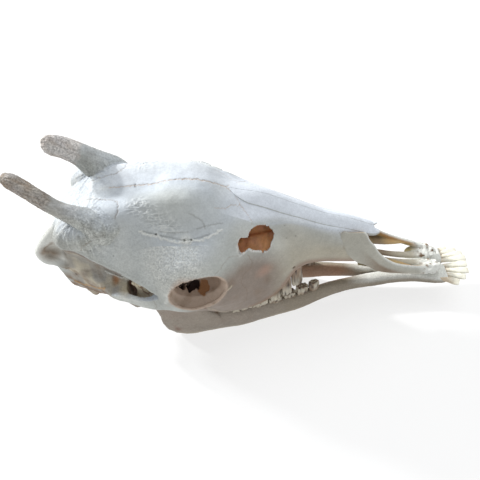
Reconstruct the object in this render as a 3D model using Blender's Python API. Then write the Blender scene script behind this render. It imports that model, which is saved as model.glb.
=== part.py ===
"""Giraffe skull with its jaw closed, life size, lying on the lower borders of the jaw.

The scene is in metres with +Z up. X runs from the nape to the muzzle and Y to the animal's left. The sizes
below are in millimetres: X from the back of the braincase, Y from the midline, Z from the table. A half
width is a Y without its sign, and a shape given that way is made on both sides.
"""

import math
import random

import bmesh
import bpy
import numpy as np
from mathutils import Matrix, Vector

MM = 0.001
SUTURE_GAP = 0.3
# The point of the table under the middle of the skull's bounding box, which becomes the origin.
MIDDLE = (316.4, 0.0)
RIGHT = -1
LEFT = 1

# Lines that run along the vault and face, each point an X, a half width and a height.
CREST_LINE = ((4, 0, 243), (22, 0, 258), (45, 0, 276), (74, 0, 290), (112, 0, 296), (150, 0, 296),
              (181, 0, 295), (207, 0, 300), (240, 0, 296), (258, 0, 289), (278, 0, 277), (327, 0, 258),
              (369, 0, 232), (412, 0, 206), (453, 0, 187), (488, 0, 166))
SHOULDER_LINE = ((4, 18, 236), (22, 19, 252), (34, 23, 263), (45, 28, 272), (74, 41, 287),
                 (112, 46, 296), (150, 43, 299), (190, 36, 300), (225, 36, 297.5), (250, 33, 288),
                 (278, 29, 268), (327, 24, 246), (369, 20, 222), (412, 17, 197), (453, 14, 181),
                 (488, 11, 163))
BROW_LINE = ((4, 26, 222), (22, 30, 238), (34, 37, 250), (45, 48, 260), (74, 57, 271), (112, 66, 267),
             (143, 71, 264), (168, 70, 269), (214, 73, 257), (230, 73, 256), (250, 66, 259),
             (271, 54, 258), (300, 43, 247), (327, 36, 234), (369, 30, 210), (412, 25, 189),
             (453, 21, 174), (488, 15, 158))
TEMPLE_LINE = ((4, 33, 206), (22, 38, 224), (34, 44, 236), (45, 56, 251), (74, 68, 246), (112, 86, 229),
               (143, 98, 211), (168, 106, 200), (186, 109, 221), (200, 108, 234), (214, 105, 240),
               (232, 101, 240), (250, 92, 236), (271, 76, 227), (300, 58, 213), (327, 50, 201),
               (369, 40, 184), (412, 33, 172), (453, 30, 161), (488, 22, 150))
CHEEK_LINE = ((4, 38, 188), (22, 42, 198), (45, 50, 208), (74, 66, 208), (112, 94, 195), (143, 105, 190),
              (168, 112, 182), (186, 115, 196), (206, 113, 212), (227, 111, 216), (250, 104, 208),
              (271, 91, 194), (300, 70, 180), (327, 58, 169), (369, 44, 158), (412, 35, 156),
              (453, 33, 147), (488, 27, 140))
ARCH_LINE = ((4, 37, 165), (22, 43, 165), (45, 54, 168), (74, 72, 168), (96, 93, 172), (114, 100, 170),
             (134, 106, 167), (158, 113, 169), (175, 116, 168), (191, 116, 160), (206, 115, 152),
             (227, 111, 148), (250, 105, 148), (271, 94, 144), (300, 78, 136), (327, 65, 134),
             (369, 44, 150), (412, 34, 142), (453, 32, 130), (488, 28, 124))
JUGAL_LINE = ((4, 36, 140), (22, 42, 134), (45, 51, 128), (74, 68, 138), (96, 88, 155), (114, 95, 156),
              (143, 104, 150), (168, 111, 153), (191, 111, 144), (206, 109, 138), (227, 104, 133),
              (250, 96, 124), (271, 88, 112), (300, 76, 101), (327, 65, 106), (346, 55, 119),
              (363, 46, 135), (390, 35, 137), (412, 32, 131), (453, 30, 121), (488, 26, 114))
GUM_LINE = ((4, 30, 116), (22, 34, 112), (45, 42, 110), (74, 48, 112), (112, 54, 122), (143, 56, 125),
            (168, 60, 120), (191, 66, 108), (214, 72, 92), (240, 75, 79), (271, 74, 77), (300, 69, 79),
            (325, 62, 88), (344, 53, 101), (356, 46, 115), (367, 40, 126), (382, 34, 129), (398, 28, 124),
            (412, 26, 121), (453, 24, 114), (488, 20, 106))
PALATE_EDGE_LINE = ((4, 18, 108), (74, 22, 100), (143, 28, 98), (191, 38, 90), (240, 50, 82),
                    (300, 42, 84), (328, 37, 92), (347, 33, 105), (366, 28, 119), (382, 23, 122),
                    (412, 18, 118), (453, 16, 111), (488, 12, 104))
PALATE_LINE = ((4, 0, 106), (45, 0, 100), (143, 0, 101), (235, 0, 98), (300, 0, 98), (350, 0, 109),
               (385, 0, 119), (412, 0, 117), (453, 0, 111), (488, 0, 104))
VAULT_LINES = (CREST_LINE, SHOULDER_LINE, BROW_LINE, TEMPLE_LINE, CHEEK_LINE, ARCH_LINE, JUGAL_LINE,
               GUM_LINE, PALATE_EDGE_LINE, PALATE_LINE)
VAULT_STATIONS = 66
SECTION_STEPS = 4

# Nuchal crest and the process beside each condyle, as rounded ridges: X, half width, Z and two radii.
NUCHAL_RIDGE = ((52, 14, 265, 13, 12), (27, 19, 246, 11.5, 11), (6, 25, 227, 12, 12),
                (-7, 30, 208, 11, 13), (-3, 36, 202, 9, 10), (11, 40, 199, 8, 8), (27, 44, 188, 6, 8))
PAROCCIPITAL_PROCESS = ((38, 40, 135, 9, 7), (35, 39, 116, 8, 6), (34, 36, 99, 5, 4))
PTERYGOID_WING = ((196, 34, 100, 20, 6), (184, 31, 86, 14, 4), (176, 29, 74, 6, 3))
# Rounded forms, as a centre and three radii.
HORN_PEDESTAL = ((78, 47, 268), (33, 29, 27))
OCCIPITAL_PLATE = ((14, 0, 196), (26, 40, 48))
OCCIPITAL_CONDYLE = ((14, 19, 116), (15, 12, 18))
AUDITORY_BULLA = ((74, 38, 108), (16, 12, 15))

# Hollows, each as one or more ellipsoids: centre and radii.
ORBIT_MOUTH = ((229, 119, 186), (43, 36, 36))
ORBIT_DEPTH = ((224, 94, 187), (33, 35, 28))
ORBIT_APEX = ((208, 72, 186), (20, 26, 18))
FORAMEN_MAGNUM = ((0, 0, 142), (30, 16, 17))
CHOANA = ((196, 0, 96), (44, 21, 20))
NAPE_HOLLOW = ((17, 51, 221), (20, 22, 12))
FACE_SINUS = ((292, 38, 210), (14, 20, 18))
FACE_SINUS_FRONT = ((312, 30, 208), (20, 19, 22))

# Hollow under the temporal line: X, inner wall, floor and ceiling.
TEMPORAL_FOSSA = ((31, 47, 200, 230), (45, 47, 178, 247), (60, 50, 168, 246), (75, 54, 166, 242),
                  (92, 57, 170, 234), (112, 60, 175, 227), (130, 63, 175, 218), (146, 66, 177, 207),
                  (160, 76, 180, 197), (170, 94, 184, 189))
FOSSA_REACH = 140
FOSSA_SQUARENESS = 3.0
FOSSA_RINGS = 22
FOSSA_SIDES = 24
# Shaft between braincase and arch that the jaw's coronoid process stands in: X, inner wall and outer wall,
# then heights with the share of its length that it keeps there.
CORONOID_SHAFT = ((119, 72, 86), (124, 70, 93), (136, 70, 97), (150, 70, 101), (164, 71, 103),
                  (177, 74, 103), (188, 82, 99))
SHAFT_LEVELS = ((84, 1.0), (136, 1.0), (158, 0.74), (196, 0.6))

# Nasal passage: X, half width, floor and ceiling.
NASAL_PASSAGE = ((266, 18, 184, 206), (276, 29, 172, 219), (288, 36, 161, 230), (302, 38, 154, 235),
                 (320, 38, 148, 231), (340, 35, 140, 224), (369, 29, 130, 211), (400, 27, 130, 198),
                 (430, 26, 126, 184), (460, 27, 120, 172), (500, 29, 112, 160), (530, 30, 100, 150))
PASSAGE_RINGS = 30
PASSAGE_SIDES = 28
PASSAGE_SQUARENESS = 2.8
# Opening with broken edges in front of the orbit, outlined in the X-Z plane.
FACE_OPENING = ((286, 215), (286, 226), (289, 232), (294, 230), (301, 227), (303, 234), (308, 236),
                (314, 237), (321, 235), (330, 229), (336, 218), (335, 210), (331, 205), (329, 198),
                (323, 194), (315, 199), (305, 205), (300, 211), (295, 210), (288, 210))
FACE_OPENING_DEPTH = (24, 100)

# Ossicones: X, Y, Z, broad radius and thin radius from the sunk root to the tip.
OSSICONE_RIGHT = ((112, 45, 254, 30, 20), (99, 46, 278, 31, 20), (85, 48.5, 297, 20.5, 13),
                  (68, 47.5, 311, 14.5, 10.5), (50, 44, 329, 13, 10), (34, 39, 346, 12.5, 9.8),
                  (22, 36, 357, 11, 9.2), (14, 34, 363, 5, 5))
OSSICONE_LEFT = ((118, 48, 252, 32, 22), (102, 50, 280, 29, 21), (89, 50, 303, 20, 15.5),
                 (77, 48.5, 320, 16, 13.5), (63, 46, 335, 14.5, 12.5), (51, 41, 346, 13.5, 12),
                 (44, 38, 351, 10, 9), (40, 36, 353, 4.5, 4))
OSSICONE_BROAD_WAY = (0.55, 0.70, 0.45)
OSSICONE_SIDES = 20
# Low skirt of each ossicone on the roof of the skull: centre, radii and tilt towards the side in degrees.
OSSICONE_SKIRT = ((112, 45, 279), (36, 28, 18))
SKIRT_TILT = 22

# Nasal bones: X, inner half width, outer half width, and thickness below the crest line.
NASAL_PLATE = ((282, 0, 4, 4), (290, 0, 12, 7), (308, 0, 19, 8), (340, 0, 20, 8), (380, 0, 18, 7.5),
               (420, 0, 16.5, 7), (455, 0, 16, 6), (470, 0, 15.5, 5), (480, 0, 14.5, 4.5),
               (487, 3, 13, 4), (494, 7.5, 11, 3))
NASAL_PROUD = 0.4
NASAL_RINGS = 20
NASAL_COLUMNS = 5

# Premaxilla: X, half width, Z, tall radius and thin radius of the side plate, then of the slip beside the
# midline.
PREMAXILLA_PLATE = ((429, 25, 171, 3, 2.5), (436, 27.5, 166, 9.5, 3.2), (446, 30, 157, 16.5, 4),
                    (461, 30.5, 147, 23, 4.6), (470, 30, 143, 24.5, 4.8), (477, 30.5, 137, 24, 4.8),
                    (485, 31, 127, 22, 4.8), (493, 32, 116, 17.5, 4.8), (508, 33, 104, 12, 5),
                    (524, 32.5, 95, 8.5, 5.2), (545, 30, 85.5, 6.8, 5.6), (570, 26, 76, 5.8, 6.6),
                    (590, 21, 70.5, 5.2, 8), (602, 15, 68.5, 3.6, 6))
PREMAXILLA_LEAN = 0.28
PREMAXILLA_SLIP = ((462, 7, 112, 3, 4), (490, 7, 96, 3.2, 4.8), (520, 7.5, 82, 3.4, 5.4),
                   (550, 8, 73, 4, 6), (578, 9, 69, 4.5, 7), (597, 9, 68.5, 4, 6))
PREMAXILLA_TIP = ((576, 16, 70), (25, 13, 5))

# Jaw: X, Y centre, lower edge, upper edge and half thickness.
JAW_BODY = ((150, 67, 4, 34, 6), (175, 68, -2, 50, 7), (205, 64.5, -1.5, 58, 8),
            (235, 60, -0.5, 55, 10), (270, 55, -1, 49, 11.5), (300, 47, -1.5, 46, 11.5),
            (330, 40.5, -1.5, 45, 10.5), (360, 34.5, -1, 44.5, 10), (385, 28.5, 3, 45, 9),
            (405, 24, 9, 47, 8), (425, 20, 14, 49, 7.5), (450, 15.5, 18, 48.5, 7.5),
            (475, 12, 20.5, 47, 9), (500, 10.5, 22.5, 48, 10), (530, 9.5, 26, 50, 10),
            (560, 11, 29, 52, 11), (585, 15, 33, 54, 14), (603, 18, 38, 56, 17), (613, 18.5, 43, 56, 17))
# Jaw branch: height, rear edge, front edge, Y centre and half thickness.
JAW_BRANCH = ((6, 149, 204, 67, 6), (20, 138, 232, 68, 7.5), (45, 134.5, 236, 68.5, 7.5),
              (70, 137, 222, 70, 6.5), (95, 137, 203, 73, 5.5), (120, 123, 184, 76.5, 5.5),
              (136, 110, 174, 78, 5.5))
CORONOID = ((150, 80, 122, 26, 7.5), (146, 83, 148, 22, 7.5), (145, 84, 168, 15, 6),
            (139, 85, 184, 8, 4), (131, 85, 192, 3.5, 2.6))
CONDYLE_NECK = ((120, 76, 118, 11, 6), (112, 76, 138, 10, 8), (109, 75, 146, 9, 10))
JAW_CONDYLE = ((109, 74, 147), (9.5, 15, 7.5))
JAW_JOINT_GAP = 0.6
JAW_RINGS = 52
JAW_SIDES = 20
BRANCH_RINGS = 20
BRANCH_SIDES = 28
JAW_SQUARENESS = 2.6
# The front parts of the two halves meet here on the midline.
SYMPHYSIS_START = 440

# Cheek teeth, front to back: X centre, length, width and number of lobes.
UPPER_TEETH = ((366, 18, 13, 1), (347, 19, 17, 2), (327, 20, 20, 2), (304, 25, 22, 2), (278, 26, 24, 2),
               (251, 26, 22, 2))
LOWER_TEETH = ((394, 17, 9, 1), (374, 20, 11, 2), (352, 22, 12, 2), (327, 26, 14, 2), (298, 29, 15, 2),
               (265, 34, 15, 3))
# Lines that a row follows: X and half width, then X and height of the worn edges and of the roots' ends.
UPPER_ROW = ((238, 65), (280, 62), (307, 57), (331, 50), (352, 43), (366, 38.5), (380, 34))
UPPER_TIPS = ((238, 58.5), (307, 56.5), (347, 58), (366, 73), (380, 77))
LOWER_ROW = ((240, 59), (265, 54), (298, 46.5), (327, 40.5), (352, 35), (374, 30.5), (394, 26.5),
             (410, 24))
LOWER_TIPS = ((240, 54.5), (327, 53.5), (352, 55), (374, 62), (394, 67), (410, 67))
UPPER_ROOTS = ((238, 92), (304, 92), (327, 101), (347, 115), (366, 132), (380, 136))
LOWER_ROOTS = ((240, 32), (410, 32))
TOOTH_SIDES = 8
TOOTH_SQUARENESS = 2.4
TOOTH_WEAR = 0.7
# A lobe's breadth along its height, from the root to the worn edge.
LOBE_TAPER = ((0.0, 0.8), (0.45, 1.0), (0.8, 0.98), (1.0, 0.72))
LOBE_SPREAD = 0.92
LOBE_OVERLAP = 0.60

# Front teeth of the jaw, from the middle outwards: root and tip in X, half width and Z, then crown half
# width.
FRONT_TEETH_RIGHT = (((607, 5.5, 50), (650, 6.5, 54), 6.6), ((606, 13, 50), (649, 19.5, 53), 6.2),
                     ((603, 20, 50), (641, 32, 53), 5.8), ((597, 26, 50), (627, 42.5, 54.5), 6.4))
FRONT_TEETH_LEFT = (((607, 5.5, 50), (652, 6, 54), 6.6), ((606, 13, 50), (650, 16, 52.5), 6.2),
                    ((603, 19, 49), (643, 26, 50), 5.8), ((597, 24, 48), (631, 33, 46), 6.2))
# A front tooth's width and depth along its length, from the sunk root to the edge.
FRONT_TAPER = ((-0.25, 0.5, 3.2), (0.15, 0.55, 3.4), (0.5, 0.8, 3.4), (0.8, 1.0, 2.6), (1.0, 0.8, 1.2))

# Fineness of the meshes: size of the grid that melts the joins, and triangles left in each bone.
VOXEL = 2.2
SMOOTH_PASSES = 3
CRANIUM_TRIANGLES = 5600
JAW_TRIANGLES = 1150
OSSICONE_TRIANGLES = 420
PREMAXILLA_TRIANGLES = 560
SHARP_ANGLE = 50
EVERYTHING = 1000

BONE = (0.80, 0.79, 0.74)
JAW_BONE = (0.62, 0.57, 0.49)
HORN_BONE = (0.52, 0.48, 0.42)
TAN_BONE = (0.74, 0.66, 0.52)
ROUGHNESS = 0.7


def clear_scene():
    for obj in list(bpy.data.objects):
        bpy.data.objects.remove(obj)


def rail_at(line, x):
    """Reads a line at x: a smooth curve through its points that doesn't overshoot them."""
    table = np.asarray(line, float)
    stations, values = table[:, 0], table[:, 1:]
    x = min(max(x, stations[0]), stations[-1])
    steps = np.diff(stations)[:, None]
    rises = np.diff(values, axis=0) / steps
    slopes = np.vstack([rises[:1], np.zeros_like(rises[1:]), rises[-1:]])
    before, after = rises[:-1], rises[1:]
    same_way = before * after > 0
    safe = np.where(same_way, before + after, 1.0)
    slopes[1:-1] = np.where(same_way, 2 * before * after / safe, 0.0)
    i = min(int(np.searchsorted(stations, x, side="right")) - 1, len(steps) - 1)
    width = steps[i, 0]
    t = (x - stations[i]) / width
    return (
        (1 + 2 * t) * (1 - t) ** 2 * values[i]
        + t * (1 - t) ** 2 * width * slopes[i]
        + t * t * (3 - 2 * t) * values[i + 1]
        + t * t * (t - 1) * width * slopes[i + 1]
    )


def stations_of(line, count):
    return np.linspace(line[0][0], line[-1][0], count)


def curve_through(points, steps, closed=False):
    """Catmull-Rom curve through points, spaced by the root of their distances so that it makes no loops."""
    points = [np.asarray(p, float) for p in points]
    count = len(points)
    found = []
    for i in range(count if closed else count - 1):
        if closed:
            p0, p1, p2, p3 = (points[(i + k) % count] for k in (-1, 0, 1, 2))
        else:
            p1, p2 = points[i], points[i + 1]
            p0 = points[i - 1] if i else 2 * p1 - p2
            p3 = points[i + 2] if i + 2 < count else 2 * p2 - p1
        t0 = 0.0
        t1 = t0 + max(np.linalg.norm(p1[:3] - p0[:3]), 1e-6) ** 0.5
        t2 = t1 + max(np.linalg.norm(p2[:3] - p1[:3]), 1e-6) ** 0.5
        t3 = t2 + max(np.linalg.norm(p3[:3] - p2[:3]), 1e-6) ** 0.5
        for k in range(steps):
            t = t1 + (t2 - t1) * k / steps
            a1 = ((t1 - t) * p0 + (t - t0) * p1) / (t1 - t0)
            a2 = ((t2 - t) * p1 + (t - t1) * p2) / (t2 - t1)
            a3 = ((t3 - t) * p2 + (t - t2) * p3) / (t3 - t2)
            b1 = ((t2 - t) * a1 + (t - t0) * a2) / (t2 - t0)
            b2 = ((t3 - t) * a2 + (t - t1) * a3) / (t3 - t1)
            found.append(((t2 - t) * b1 + (t - t1) * b2) / (t2 - t1))
    if not closed:
        found.append(points[-1])
    return found


def bone_material(colour):
    name = "bone_%02d_%02d_%02d" % tuple(round(100 * c) for c in colour)
    material = bpy.data.materials.get(name)
    if material is None:
        material = bpy.data.materials.new(name)
        material.use_nodes = True
        shader = material.node_tree.nodes["Principled BSDF"]
        shader.inputs["Base Color"].default_value = (*colour, 1.0)
        shader.inputs["Roughness"].default_value = ROUGHNESS
        shader.inputs["Metallic"].default_value = 0.0
    return material


def new_object(name, bm, colour=BONE):
    bmesh.ops.recalc_face_normals(bm, faces=bm.faces)
    mesh = bpy.data.meshes.new(name)
    bm.to_mesh(mesh)
    bm.free()
    obj = bpy.data.objects.new(name, mesh)
    bpy.context.scene.collection.objects.link(obj)
    obj.data.materials.append(bone_material(colour))
    return obj


def loft(name, rings, colour=BONE):
    """Closed skin over rings of points, which all have the same count and run the same way."""
    bm = bmesh.new()
    loops = [[bm.verts.new(Vector(p) * MM) for p in ring] for ring in rings]
    sides = len(loops[0])
    for first, second in zip(loops, loops[1:]):
        for k in range(sides):
            bm.faces.new((first[k], first[(k + 1) % sides], second[(k + 1) % sides], second[k]))
    bm.faces.new(loops[0])
    bm.faces.new(loops[-1])
    return new_object(name, bm, colour)


def ellipse(centre, broad, thin, sides, squareness=2.0):
    """Ring of points round centre. Above 2 the squareness fills the corners."""
    ring = []
    for k in range(sides):
        angle = 2 * math.pi * k / sides
        c, s = math.cos(angle), math.sin(angle)
        c = math.copysign(abs(c) ** (2 / squareness), c)
        s = math.copysign(abs(s) ** (2 / squareness), s)
        ring.append(centre + c * broad + s * thin)
    return ring


def tube(name, path, side, broad_way, sides=16, steps=4, colour=BONE):
    """Swept ellipse. A path point holds X, half width, Z, the radius along broad_way and the one across."""
    rows = curve_through([(x, side * y, z, broad, thin) for x, y, z, broad, thin in path], steps)
    broad_way = np.array((broad_way[0], side * broad_way[1], broad_way[2]), float)
    rings = []
    for i, row in enumerate(rows):
        ahead = rows[min(i + 1, len(rows) - 1)][:3] - rows[max(i - 1, 0)][:3]
        ahead /= np.linalg.norm(ahead)
        broad = broad_way - broad_way.dot(ahead) * ahead
        broad /= np.linalg.norm(broad)
        thin = np.cross(ahead, broad)
        rings.append(ellipse(row[:3], broad * row[3], thin * row[4], sides))
    return loft(name, rings, colour)


def upright_plate(name, rows, side, lean, sides=16, count=26, colour=BONE):
    """Plate along X, leaning inwards. A row holds X, half width, Z, the tall radius and the thin radius."""
    rings = []
    for x in stations_of(rows, count):
        y, z, tall, thin = rail_at(rows, x)
        centre = np.array((x, side * y, z))
        rings.append(ellipse(centre, np.array((0, -side * lean, 1)) * tall, np.array((0, thin, 0)), sides))
    return loft(name, rings, colour)


def ellipsoid(name, place, side=1, detail=4, tilt=0.0, colour=BONE):
    """Ellipsoid of a centre and radii, tilted down towards its own side."""
    centre, radii = place
    bm = bmesh.new()
    bmesh.ops.create_icosphere(bm, subdivisions=detail, radius=1.0)
    turn = Matrix.Rotation(math.radians(-side * tilt), 3, "X")
    for vert in bm.verts:
        vert.co = turn @ Vector([c * r for c, r in zip(vert.co, radii)])
        vert.co = (vert.co + Vector((centre[0], side * centre[1], centre[2]))) * MM
    return new_object(name, bm, colour)


def prism(name, outline, low, high, side=1):
    """Outline in the X-Z plane, stretched between two half widths."""
    return loft(name, [[(x, side * y, z) for x, z in outline] for y in (low, high)])


def box(name, low, high):
    (x0, y0, z0), (x1, y1, z1) = low, high
    corners = ((x0, y0), (x1, y0), (x1, y1), (x0, y1))
    return loft(name, [[(x, y, z) for x, y in corners] for z in (z0, z1)])


def bake(obj):
    """Applies the object's modifiers."""
    graph = bpy.context.evaluated_depsgraph_get()
    mesh = bpy.data.meshes.new_from_object(obj.evaluated_get(graph))
    obj.modifiers.clear()
    old = obj.data
    obj.data = mesh
    bpy.data.meshes.remove(old)
    return obj


def boolean(obj, others, operation):
    """One Boolean with a collection of closed meshes, which it uses up."""
    group = bpy.data.collections.new("tools")
    for other in others:
        group.objects.link(other)
    modifier = obj.modifiers.new("boolean", "BOOLEAN")
    modifier.operation = operation
    modifier.operand_type = "COLLECTION"
    modifier.collection = group
    modifier.solver = "MANIFOLD"
    bake(obj)
    for other in others:
        bpy.data.objects.remove(other)
    bpy.data.collections.remove(group)
    return obj


def union(obj, others):
    return boolean(obj, others, "UNION")


def cut(obj, others):
    return boolean(obj, others, "DIFFERENCE")


def keep_largest(obj):
    """Leaves only the largest closed surface."""
    bm = bmesh.new()
    bm.from_mesh(obj.data)
    left = set(bm.verts)
    shells = []
    while left:
        shell, edge = set(), [left.pop()]
        while edge:
            vert = edge.pop()
            shell.add(vert)
            near = {e.other_vert(vert) for e in vert.link_edges} & left
            left -= near
            edge.extend(near)
        shells.append(shell)
    shells.sort(key=len)
    small = [vert for shell in shells[:-1] for vert in shell]
    bmesh.ops.delete(bm, geom=small, context="VERTS")
    bm.to_mesh(obj.data)
    bm.free()
    return obj


def rounded(obj, triangles):
    """Melts the joins into one bone surface and brings it to about the given number of triangles."""
    remesh = obj.modifiers.new("remesh", "REMESH")
    remesh.mode = "VOXEL"
    remesh.voxel_size = VOXEL * MM
    smooth = obj.modifiers.new("smooth", "SMOOTH")
    smooth.factor = 0.5
    smooth.iterations = SMOOTH_PASSES
    bake(obj)
    keep_largest(obj)
    faces = sum(len(face.vertices) - 2 for face in obj.data.polygons)
    decimate = obj.modifiers.new("decimate", "DECIMATE")
    decimate.ratio = min(1.0, triangles / faces)
    decimate.use_collapse_triangulate = True
    return bake(obj)


def socket_for(obj, gap=SUTURE_GAP):
    """Copy of a bone, larger all round, to cut the seat it stands in. Corners move further than faces."""
    socket = bpy.data.objects.new("socket", obj.data.copy())
    bpy.context.scene.collection.objects.link(socket)
    normals = [vert.normal.copy() for vert in obj.data.vertices]
    for vert, normal in zip(socket.data.vertices, normals):
        vert.co += normal * (gap * math.sqrt(2) * MM)
    return socket


def vault_section(x):
    half = [rail_at(line, x) for line in VAULT_LINES]
    right = [(-p[0], p[1]) for p in half]
    left = [(p[0], p[1]) for p in reversed(half[1:-1])]
    ring = curve_through(right + left, SECTION_STEPS, closed=True)
    return [(x, y, z) for y, z in ring]


def vault():
    return loft("vault", [vault_section(x) for x in stations_of(CREST_LINE, VAULT_STATIONS)])


def back_of_skull():
    pieces = [ellipsoid("occipital_plate", OCCIPITAL_PLATE)]
    for side in (RIGHT, LEFT):
        pieces += [
            ellipsoid("horn_pedestal", HORN_PEDESTAL, side),
            tube("nuchal_ridge", NUCHAL_RIDGE, side, (0, 1, 0)),
            ellipsoid("occipital_condyle", OCCIPITAL_CONDYLE, side),
            tube("paroccipital", PAROCCIPITAL_PROCESS, side, (1, 0, 0)),
            ellipsoid("bulla", AUDITORY_BULLA, side),
            tube("pterygoid", PTERYGOID_WING, side, (1, 0, 0)),
        ]
    return pieces


def temporal_hollow(side):
    rings = []
    for x in stations_of(TEMPORAL_FOSSA, FOSSA_RINGS):
        wall, floor, ceiling = rail_at(TEMPORAL_FOSSA, x)
        centre = np.array((x, side * FOSSA_REACH, (floor + ceiling) / 2))
        reach = np.array((0, FOSSA_REACH - wall, 0))
        rise = np.array((0, 0, (ceiling - floor) / 2))
        rings.append(ellipse(centre, reach, rise, FOSSA_SIDES, FOSSA_SQUARENESS))
    return loft("temporal_hollow", rings)


def coronoid_shaft(side):
    inner = [(x, side * wall) for x, wall, far in CORONOID_SHAFT]
    outer = [(x, side * far) for x, wall, far in reversed(CORONOID_SHAFT)]
    back = CORONOID_SHAFT[0][0]
    return loft("coronoid_shaft", [[(back + (x - back) * share, y, z) for x, y in inner + outer]
                                   for z, share in SHAFT_LEVELS])


def nasal_passage():
    rings = []
    for x in stations_of(NASAL_PASSAGE, PASSAGE_RINGS):
        half, floor, ceiling = rail_at(NASAL_PASSAGE, x)
        centre = np.array((x, 0, (floor + ceiling) / 2))
        rise = np.array((0, 0, (ceiling - floor) / 2))
        rings.append(ellipse(centre, np.array((0, half, 0)), rise, PASSAGE_SIDES, PASSAGE_SQUARENESS))
    return loft("nasal_passage", rings)


def hollows():
    pieces = [nasal_passage(), ellipsoid("foramen_magnum", FORAMEN_MAGNUM), ellipsoid("choana", CHOANA)]
    for side in (RIGHT, LEFT):
        pieces += [
            ellipsoid("orbit_mouth", ORBIT_MOUTH, side),
            ellipsoid("orbit_depth", ORBIT_DEPTH, side),
            ellipsoid("orbit_apex", ORBIT_APEX, side),
            ellipsoid("nape_hollow", NAPE_HOLLOW, side),
            ellipsoid("face_sinus", FACE_SINUS, side),
            ellipsoid("face_sinus", FACE_SINUS_FRONT, side),
            temporal_hollow(side),
            coronoid_shaft(side),
            prism("face_opening", FACE_OPENING, *FACE_OPENING_DEPTH, side=side),
        ]
    return pieces


def cheek_tooth(place, size, root, tip, way, lobes, rng):
    """Crown of lobes in a line, each narrowing from its sunk root to a worn edge."""
    length, width = size
    along = np.array((way[0], way[1], 0.0))
    across = np.array((-way[1], way[0], 0.0))
    pieces = []
    for k in range(lobes):
        offset = (k - (lobes - 1) / 2) * length / lobes * LOBE_SPREAD
        middle = np.array((place[0], place[1], 0.0)) + along * offset
        worn = tip + rng.uniform(-TOOTH_WEAR, TOOTH_WEAR)
        rings = []
        for height, scale in LOBE_TAPER:
            centre = middle + np.array((0, 0, root + (worn - root) * height))
            reach = along * (length / lobes * LOBE_OVERLAP * scale)
            rings.append(ellipse(centre, reach, across * (width / 2 * scale), TOOTH_SIDES, TOOTH_SQUARENESS))
        pieces.append(loft("cheek_tooth", rings))
    return pieces


def cheek_teeth(side, teeth, row, roots, tips, rng):
    pieces = []
    for x, length, width, lobes in teeth:
        slope = (rail_at(row, x + 5)[0] - rail_at(row, x - 5)[0]) / 10
        way = np.array((1.0, side * slope))
        way /= np.linalg.norm(way)
        place = (x, side * rail_at(row, x)[0])
        root = rail_at(roots, x)[0]
        tip = rail_at(tips, x)[0]
        pieces += cheek_tooth(place, (length, width), root, tip, way, lobes, rng)
    return pieces


def front_teeth(side):
    pieces = []
    for root, tip, half in FRONT_TEETH_RIGHT if side == RIGHT else FRONT_TEETH_LEFT:
        start = np.array((root[0], side * root[1], root[2]), float)
        end = np.array((tip[0], side * tip[1], tip[2]), float)
        along = (end - start) / np.linalg.norm(end - start)
        across = np.array((-along[1], along[0], 0.0))
        across /= np.linalg.norm(across)
        up = np.cross(along, across)
        rings = []
        for t, width, depth in FRONT_TAPER:
            centre = start + (end - start) * t
            rings.append(ellipse(centre, across * half * width, up * depth, TOOTH_SIDES, TOOTH_SQUARENESS))
        pieces.append(loft("front_tooth", rings))
    return pieces


def cranium(neighbours):
    """Braincase, face and upper cheek teeth as one bone, with a seat cut for each neighbour."""
    body = union(vault(), back_of_skull())
    cut(body, hollows())
    rounded(body, CRANIUM_TRIANGLES)
    rng = random.Random(11)
    teeth = []
    for side in (RIGHT, LEFT):
        teeth += cheek_teeth(side, UPPER_TEETH, UPPER_ROW, UPPER_ROOTS, UPPER_TIPS, rng)
    union(body, teeth)
    cut(body, neighbours)
    return keep_largest(body)


def ossicone(side):
    path = OSSICONE_RIGHT if side == RIGHT else OSSICONE_LEFT
    horn = tube("ossicone", path, side, OSSICONE_BROAD_WAY, sides=OSSICONE_SIDES, colour=HORN_BONE)
    union(horn, [ellipsoid("skirt", OSSICONE_SKIRT, side, tilt=SKIRT_TILT)])
    return rounded(horn, OSSICONE_TRIANGLES)


def roof_height(x, y):
    """Height of the roof of the nose at a half width, from the crest and shoulder lines."""
    crest = rail_at(CREST_LINE, x)[1]
    shoulder_width, shoulder = rail_at(SHOULDER_LINE, x)
    return crest - (crest - shoulder) * (abs(y) / shoulder_width) ** 2 + NASAL_PROUD


def nasal_bone(side):
    """Plate in the roof of the nose, flush with the vault's own lines, with a notch between the tips."""
    rings = []
    for x in stations_of(NASAL_PLATE, NASAL_RINGS):
        inner, outer, thickness = rail_at(NASAL_PLATE, x)
        across = np.linspace(inner + SUTURE_GAP / 2, outer, NASAL_COLUMNS)
        top = [(y, roof_height(x, y)) for y in across]
        bottom = [(y, roof_height(x, y) - thickness) for y in reversed(across)]
        rings.append([(x, side * y, z) for y, z in top + bottom])
    return loft("nasal", rings)


def half_space(side, first, last):
    """Block that covers everything across the midline from the given side."""
    near, far = -side * EVERYTHING, side * SUTURE_GAP / 2
    return box("middle", (first, min(near, far), -EVERYTHING), (last, max(near, far), EVERYTHING))


def premaxilla(side, nasal_socket):
    bone = upright_plate("premaxilla", PREMAXILLA_PLATE, side, PREMAXILLA_LEAN, colour=TAN_BONE)
    slip = tube("slip", PREMAXILLA_SLIP, side, (0, 0, 1))
    union(bone, [slip, ellipsoid("tip", PREMAXILLA_TIP, side, detail=3)])
    rounded(bone, PREMAXILLA_TRIANGLES)
    cut(bone, [half_space(side, 0, EVERYTHING), nasal_socket])
    return keep_largest(bone)


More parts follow.
